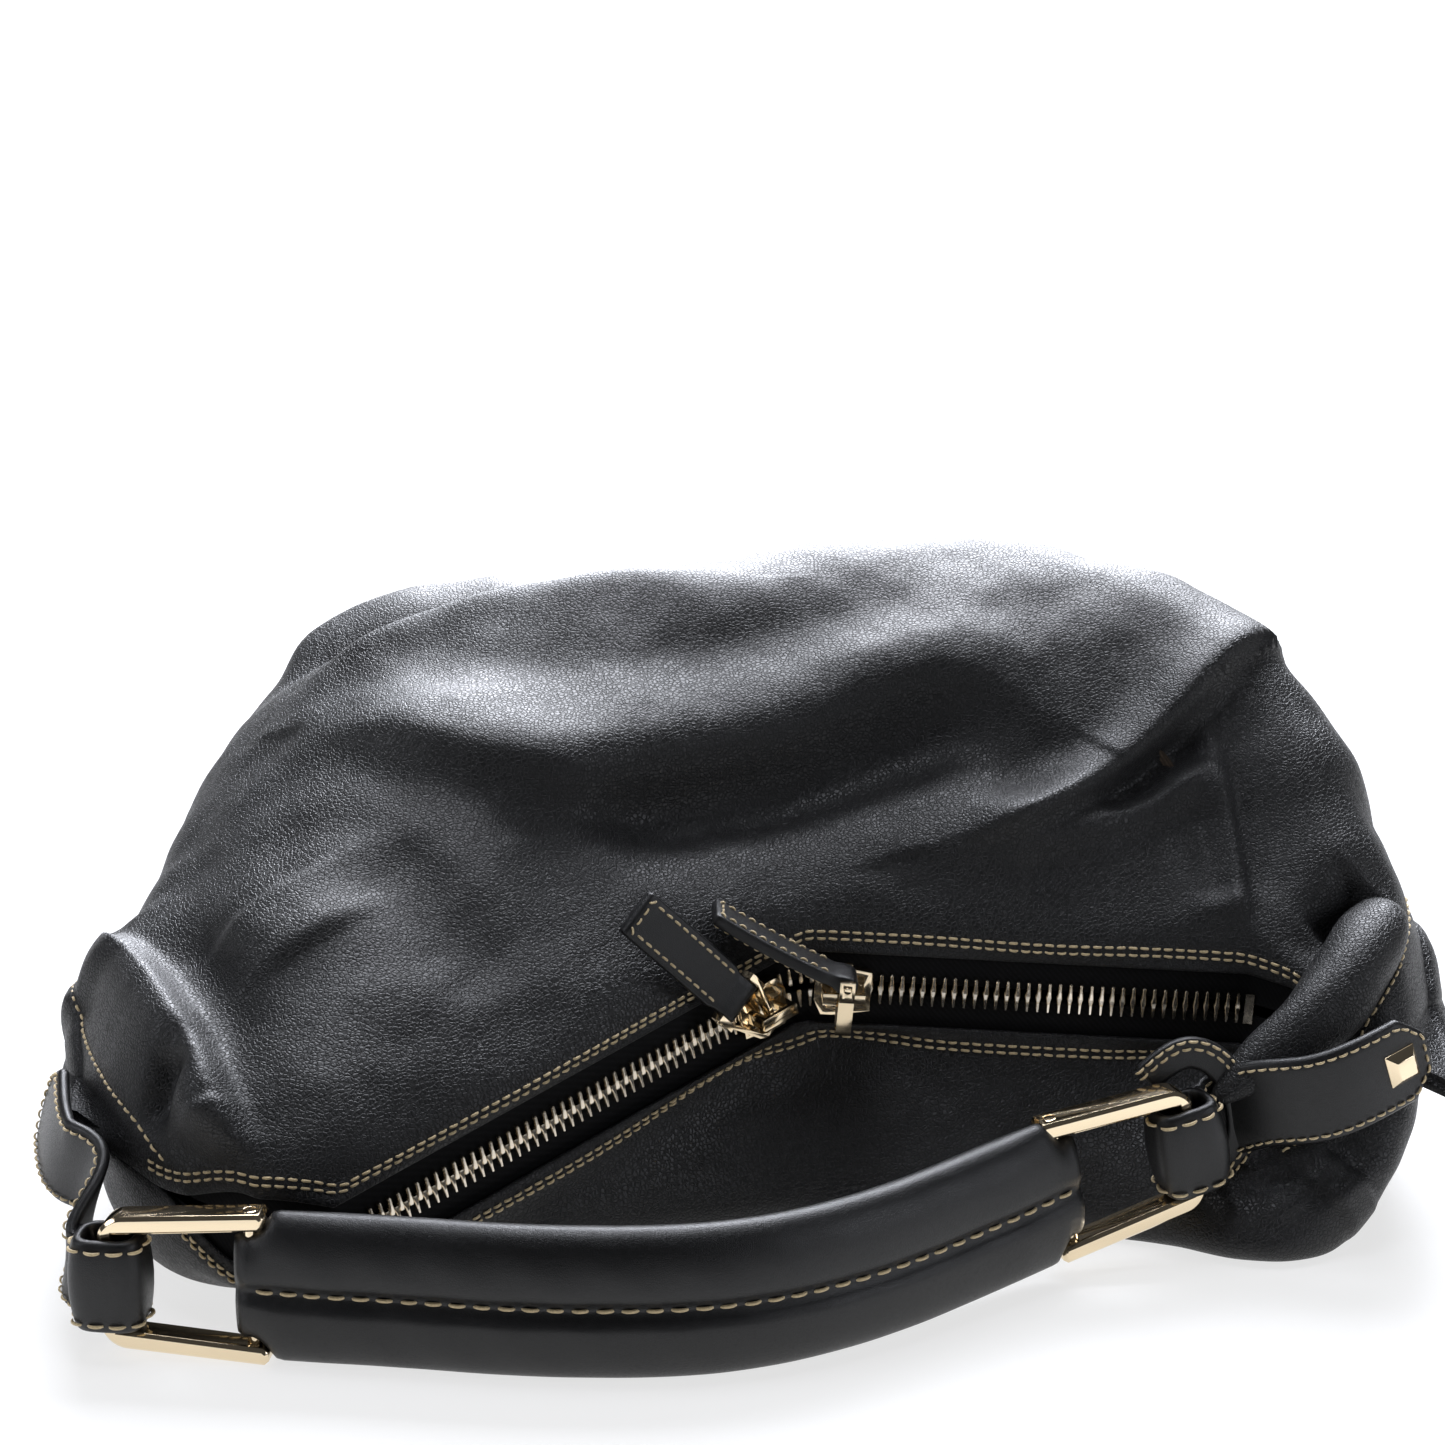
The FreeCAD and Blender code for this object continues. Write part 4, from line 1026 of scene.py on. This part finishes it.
def make_keeper(side, fr, item):
    """Barrel loop of strap leather round the ring's bar, stitched near both rims."""
    a, b, high = KEEPER_LONG / 2, KEEPER_DEEP / 2, KEEPER_HIGH / 2
    turn = np.arange(56) * 2 * math.pi / 56
    def track(y, grow):
        s = 1 - 0.10 * (y / high) ** 2
        pts = []
        for t in turn:
            c, d = math.cos(t), math.sin(t)
            x = math.copysign(abs(c) ** 0.55, c) * (a * s + grow)
            z = math.copysign(abs(d) ** 0.62, d) * (b * s + grow)
            pts.append((x, y, z))
        return pts
    rings = []
    for y, g in ((-high + 0.5, -2.6), (-high, -2.0), (-high, -0.8), (-high + 0.5, -0.1), (-high * 0.8, 0.2),
                 (-high * 0.5, 0.5), (0, 0.7), (high * 0.5, 0.5), (high * 0.8, 0.2), (high - 0.5, -0.1),
                 (high, -0.8), (high, -2.0), (high - 0.5, -2.6), (0, -2.8)):
        rings.append([at(fr, x, yy, z) for x, yy, z in track(y, g)])
    rings = np.array(rings)
    rows, cols = rings.shape[:2]
    faces = grid_faces(rows, cols, wrap=True)
    last = (rows - 1) * cols
    faces += [(last + j, last + (j + 1) % cols, (j + 1) % cols, j) for j in range(cols)]
    obj = tidy(piece("keeper_loop_" + side, rings.reshape(-1, 3), faces, MATERIALS["strap"]))
    sub = obj.modifiers.new("Soft", "SUBSURF")
    sub.levels = sub.render_levels = 1
    finish_modifiers(obj)
    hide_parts("keeper_" + side)
    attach(obj, "keepers")
    lines = []
    for y in (-high + 2.4, high - 2.4):
        pts, nrm = [], []
        for x, yy, z in track(y, 0.42):
            pts.append(at(fr, x, yy, z))
            nrm.append(unit(fr.along * (x / a**2) + fr.out * (z / b**2)))
        lines.append((pts, nrm))
    seams = repeats("keeper_stitches_" + side, lines, item, 5.3, MATERIALS["stitch"], 0.05)
    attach(seams, "keepers")


# ---- grip --------------------------------------------------------------------------------
RING_REACH = 35.75
GRIP_LINE = [(-85, -114.5, 20.4), (-60, -118.3, 20.4), (-36, -119.8, 20.4), (-12, -118.2, 20.4),
             (12.5, -110.5, 20.6), (37.5, -95.5, 21.2), (58.5, -79.5, 22.6)]


def grip_frames(count):
    a = at(RINGS["left"], RING_REACH - 4, 0, 0)
    b = at(RINGS["right"], RING_REACH - 4, 0, 0)
    line = smooth_path([a] + [np.array(p, float) for p in GRIP_LINE] + [b], count)
    frames = []
    for i, p in enumerate(line):
        along = unit(line[min(i + 1, count - 1)] - line[max(i - 1, 0)])
        lean = max(0.0, (i / (count - 1) - 0.55) / 0.45)
        up = RINGS["left"].up * (1 - lean) + RINGS["right"].up * lean
        up = unit(up - along * (up @ along))
        frames.append(Frame(p, along, up, np.cross(along, up)))
    return frames


def make_grip():
    """Two padded lobes either side of one heavy seam, cut square at the ends."""
    count = 150
    frames = grip_frames(count)
    line = np.array([f.origin for f in frames])
    run = np.concatenate([[0], np.cumsum(np.linalg.norm(np.diff(line, axis=0), axis=1))])
    heights = np.linspace(-1, 1, 44)
    rings = []
    for f, s in zip(frames, run):
        end = min(s, run[-1] - s)
        half = 14.0 + 5.9 * np.clip((end - 5.0) / 5.0, 0, 1)
        deep = 4.9 + 3.1 * np.clip(end / 22, 0, 1) ** 0.7
        deep *= np.clip(0.55 + end / 1.6, 0, 1)
        half -= max(0.0, 0.9 - end)
        dent = 0.35 * math.sin(s / 6.0) + 0.25 * math.sin(s / 2.1 + 1.0)
        front = []
        for y in np.sin(heights * math.pi / 2):
            body = (1 - abs(y) ** 2.6) ** 0.5
            valley = 1 - 0.34 * math.exp(-(y * half / 2.4) ** 2) - 0.05 * math.exp(-(y * half / 6) ** 2)
            wrinkle = 1 + 0.012 * math.sin(s / 3.1 + 5 * y) + 0.01 * dent
            front.append((y * half, deep * body * valley * wrinkle))
        back = [(y, -z) for y, z in reversed(front[1:-1])]
        rings.append([at(f, 0, y, z) for y, z in front + back])
    obj = tube("grip_leather", rings, MATERIALS["strap"])
    obj.data.set_sharp_from_angle(angle=math.radians(60))
    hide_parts("grip_cover")
    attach(obj, "grip")
    out = 1 if frames[count // 2].out[1] < 0 else -1
    item = stitch_item(4.9, 0.52)
    pts, nrm = [], []
    for f, s in zip(frames, run):
        end = min(s, run[-1] - s)
        if end < 6:
            continue
        deep = (4.9 + 3.1 * np.clip(end / 22, 0, 1) ** 0.7) * 0.61 + 0.1
        pts.append(at(f, 0, 0, out * deep))
        nrm.append(f.out * out)
    for name, flip in (("front", 1), ("back", -1)):
        line = [p if flip > 0 else 2 * f.origin - p for p, f in zip(pts, [f for f, s in zip(frames, run)
                                                                       if min(s, run[-1] - s) >= 6])]
        seams = repeats("grip_stitches_" + name, [(line, [n * flip for n in nrm])], item, 6.0,
                        MATERIALS["stitch"], 0.05)
        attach(seams, "grip")


# ---- leather pulls -----------------------------------------------------------------------
PULL_THICK = 3.2


def make_pulls():
    for side in ("left", "right"):
        joint = next(j for j in frame["joints"] if j["name"] == "pull_%s_lift" % side)
        pin = unit(joint["axis"]) * (1 if side == "left" else -1)
        origin = np.array(joint["pos_m"]) / MM
        y = unit(PULLS[side] - pin * (PULLS[side] @ pin))
        make_pull(side, Frame(origin, pin, y, np.cross(pin, y)))


PULLS = {"left": np.array((-0.744, -0.33, 0.662)), "right": np.array((-0.874, 0.0, 0.486))}


def make_pull(side, fr):
    """Two layers of leather folded round the pin, narrowed at the loop, stitched on three sides."""
    half_thick = PULL_THICK / 2
    rings = []
    stations = [(-2.45, 5.7, 0.9), (-2.2, 5.7, 1.7), (-1.2, 5.7, 2.35), (0.2, 5.7, 2.55), (1.8, 5.7, 2.3),
                (3.6, 5.7, 1.75), (5.0, 5.75, half_thick), (6.6, 6.4, half_thick), (7.4, 6.5, half_thick)]
    stations += [(y, 6.5, half_thick) for y in np.linspace(9, 38.8, 22)]
    stations += [(39.6, 6.35, half_thick - 0.15), (40.0, 6.0, half_thick - 0.5)]
    for y, wide, t in stations:
        curl = 0.9 * math.sin((y + 3) / 43 * math.pi) - 0.4
        sec = []
        for x in (-1, -0.965, -0.9, -0.55, 0, 0.55, 0.9, 0.965, 1):
            edge = {1: 0.72, 0.965: 0.93}.get(abs(x), 1.0)
            sec.append((x * wide, t * edge + 0.12 * (1 - x * x)))
        sec += [(x, -z) for x, z in reversed(sec)]
        rings.append([fr.origin + fr.along * x + fr.up * y + fr.out * (z + curl) for x, z in sec])
    obj = tube("pull_leather_" + side, rings, MATERIALS["strap"])
    obj.data.set_sharp_from_angle(angle=math.radians(55))
    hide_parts("leather_pull_" + side)
    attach(obj, "pull_" + side)
    item = stitch_item(2.3, 0.31)
    lines = []
    for face in (1, -1):
        route = [(-4.6, 7.5), (-4.6, 38.2), (4.6, 38.2), (4.6, 7.5)]
        pts = []
        for (x0, y0), (x1, y1) in zip(route, route[1:]):
            for k in np.linspace(0, 1, 24)[:-1]:
                pts.append((x0 + (x1 - x0) * k, y0 + (y1 - y0) * k))
        pts.append(route[-1])
        line = []
        for x, y in pts:
            curl = 0.9 * math.sin((y + 3) / 43 * math.pi) - 0.4
            line.append(fr.origin + fr.along * x + fr.up * y + fr.out * (face * (half_thick + 0.08) + curl))
        lines.append((line, [fr.out * face] * len(line)))
    seams = repeats("pull_stitches_" + side, lines, item, 2.95, MATERIALS["stitch"], 0.06)
    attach(seams, "pull_" + side)


# ---- stage -------------------------------------------------------------------------------
def make_stage(look):
    world = bpy.data.worlds.new("Studio")
    bpy.context.scene.world = world
    world.use_nodes = True
    world.node_tree.nodes["Background"].inputs["Color"].default_value = colour("#f4f5fa")
    world.node_tree.nodes["Background"].inputs["Strength"].default_value = look.ambient
    mesh = bpy.data.meshes.new("floor")
    s = 9.0
    mesh.from_pydata([(-s, -s, 0), (s, -s, 0), (s, 2 * s, 0), (-s, 2 * s, 0)], [], [(0, 1, 2, 3)])
    floor = bpy.data.objects.new("floor", mesh)
    bpy.context.scene.collection.objects.link(floor)
    mat, tree, shader = new_material("White studio floor", colour("#8c8c8c"), 0.7, Specular_IOR_Level=0.2)
    shader.inputs["Emission Color"].default_value = colour("#ffffff")
    place = add(tree, "ShaderNodeTexCoord")
    depth = add(tree, "ShaderNodeSeparateXYZ", Vector=place.outputs["Object"])
    glow = add(tree, "ShaderNodeMapRange",
               {"From Min": -0.50, "From Max": -0.17, "To Min": 0.12, "To Max": 0.72},
               Value=depth.outputs["Y"])
    far = add(tree, "ShaderNodeMapRange", {"From Min": 0.3, "From Max": 2.2, "To Min": 0.0, "To Max": 0.35},
              Value=depth.outputs["Y"])
    total = add(tree, "ShaderNodeMath", {"operation": "ADD"}, i0=glow.outputs[0], i1=far.outputs[0])
    tree.links.new(total.outputs[0], shader.inputs["Emission Strength"])
    mesh.materials.append(mat)
    for name, place, aim, size, power in (
            ("top softbox", (-0.15, -0.1, 1.35), (0, 0.0, 0.1), 0.55, look.top),
            ("back softbox", (0.1, 1.2, 1.2), (0, 0.05, 0.1), 1.3, look.back),
            ("low back softbox", (0.1, 2.3, 0.85), (0, 0.05, 0.1), 1.1, look.low),
            ("left softbox", (-1.3, -0.3, 0.75), (0, 0, 0.06), 0.6, look.side),
            ("right softbox", (1.3, -0.65, 0.55), (0, 0, 0.06), 0.7, look.side)):
        data = bpy.data.lights.new(name, "AREA")
        data.shape = "SQUARE"
        data.size = size
        data.energy = power
        data.color = colour("#f3f6ff")[:3]
        obj = bpy.data.objects.new(name, data)
        obj.location = place
        obj.rotation_euler = (Vector(aim) - Vector(place)).to_track_quat("-Z", "Y").to_euler()
        bpy.context.scene.collection.objects.link(obj)
    data = bpy.data.lights.new("overhead", "SUN")
    data.energy = look.overhead
    data.angle = math.radians(50)
    sun = bpy.data.objects.new("overhead", data)
    sun.rotation_euler = (math.radians(-12), 0, 0)
    bpy.context.scene.collection.objects.link(sun)
    cam = bpy.data.cameras.new("Camera")
    cam.lens = 90
    cam.sensor_width = 36
    cam.clip_end = 60
    camera = bpy.data.objects.new("Camera", cam)
    camera.location = (-0.0065, -0.9143, 0.415)
    camera.rotation_euler = (math.radians(90 - 17.3), 0, 0)
    bpy.context.scene.collection.objects.link(camera)
    bpy.context.scene.camera = camera
    bpy.context.scene.view_settings.view_transform = "Standard"


# ---- add-on ------------------------------------------------------------------------------
def tint(name, description, code):
    return bpy.props.FloatVectorProperty(name=name, description=description, default=colour(code)[:3],
                                         subtype="COLOR", size=3, min=0, max=1)


def power(name, description, watts):
    return bpy.props.FloatProperty(name=name, description=description, default=watts, min=0, max=500,
                                   subtype="POWER")


class HoboLook(bpy.types.PropertyGroup):
    """Sizes, colours and light that a user would change."""
    grain: bpy.props.FloatProperty(name="Grain", description="Width of one pebble of the leather's grain",
                                   default=0.0011, min=0.0005, max=0.003, unit="LENGTH")
    leather: tint("Body leather", "Drummed leather of the panels", "#060607")
    straps: tint("Strap leather", "Smooth leather of straps, pulls and grip", "#040405")
    thread: tint("Thread", "Thread of the seams one can see", "#bfac86")
    gold: tint("Hardware", "Plate on sliders, rings and studs", "#f2dfbe")
    teeth: tint("Teeth", "Zipper teeth and end stops", "#e6dccb")
    lining: tint("Lining", "Cotton of the lining and the pocket", "#3a3128")
    ambient: bpy.props.FloatProperty(name="Ambient", description="Strength of the even light", default=0.06,
                                     min=0, max=2)
    top: power("Top softbox", "Power of the softbox overhead", 5)
    side: power("Side softboxes", "Power of each softbox at the side", 4)
    back: power("Back softbox", "Power of the softbox behind", 85)
    low: power("Low back softbox", "Power of the softbox low behind", 50)
    overhead: bpy.props.FloatProperty(name="Overhead", description="Strength of the wide even light overhead",
                                      default=0.25, min=0, max=20)


class HoboOperator(bpy.types.Operator):
    """Builds one group of the bag's pieces"""
    bl_idname = "hobo.base"
    bl_label = "Build"
    bl_options = {"REGISTER", "UNDO"}
    steps = ()

    def execute(self, context):
        for step in self.steps:
            step()
        return {"FINISHED"}


class BuildMaterials(HoboOperator):
    """Makes the leathers, metals, cloths and thread"""
    bl_idname = "hobo.materials"
    bl_label = "Materials"

    def execute(self, context):
        make_materials(context.scene.hobo_look)
        return {"FINISHED"}


class BuildBody(HoboOperator):
    """Makes the folded leather panels and their lining"""
    bl_idname = "hobo.body"
    bl_label = "Body"
    steps = (make_body, make_roll, make_side_seams)


class BuildZipper(HoboOperator):
    """Makes the tapes, the teeth and the double seams beside them"""
    bl_idname = "hobo.zipper"
    bl_label = "Zipper"
    steps = (make_mouth_seams, make_teeth)


class BuildHardware(HoboOperator):
    """Makes the sliders, links, rings, pins and studs"""
    bl_idname = "hobo.hardware"
    bl_label = "Hardware"
    steps = (make_hardware, paint_nodes)


class BuildPulls(HoboOperator):
    """Makes the two stitched leather pulls"""
    bl_idname = "hobo.pulls"
    bl_label = "Pulls"
    steps = (make_pulls,)


class BuildStraps(HoboOperator):
    """Makes the tabs and the keepers"""
    bl_idname = "hobo.straps"
    bl_label = "Tabs and keepers"
    steps = (make_straps, make_arch)


class BuildGrip(HoboOperator):
    """Makes the padded grip and its seam"""
    bl_idname = "hobo.grip"
    bl_label = "Grip"
    steps = (make_grip,)


class BuildStage(HoboOperator):
    """Makes the floor, the lights and the camera"""
    bl_idname = "hobo.stage"
    bl_label = "Stage"

    def execute(self, context):
        make_stage(context.scene.hobo_look)
        return {"FINISHED"}


BUILDERS = (BuildStage, BuildMaterials, BuildBody, BuildZipper, BuildHardware, BuildPulls, BuildStraps,
            BuildGrip)


class HoboPanel(bpy.types.Panel):
    """Lists the bag's settings and its builders"""
    bl_idname = "VIEW3D_PT_hobo"
    bl_label = "Hobo bag"
    bl_space_type = "VIEW_3D"
    bl_region_type = "UI"
    bl_category = "Hobo bag"

    def draw(self, context):
        look = context.scene.hobo_look
        for name in HoboLook.__annotations__:
            self.layout.prop(look, name)
        for builder in BUILDERS:
            self.layout.operator(builder.bl_idname)


CLASSES = (HoboLook,) + BUILDERS + (HoboPanel,)


def register():
    for cls in CLASSES:
        bpy.utils.register_class(cls)
    bpy.types.Scene.hobo_look = bpy.props.PointerProperty(type=HoboLook)


def unregister():
    del bpy.types.Scene.hobo_look
    for cls in reversed(CLASSES):
        bpy.utils.unregister_class(cls)


def main():
    register()
    bpy.ops.hobo.stage()
    bpy.ops.hobo.materials()
    bpy.ops.hobo.body()
    bpy.ops.hobo.zipper()
    bpy.ops.hobo.hardware()
    bpy.ops.hobo.pulls()
    bpy.ops.hobo.straps()
    bpy.ops.hobo.grip()
    for obj in TEMPLATES:
        bpy.data.objects.remove(obj)


if __name__ == "__main__":
    main()
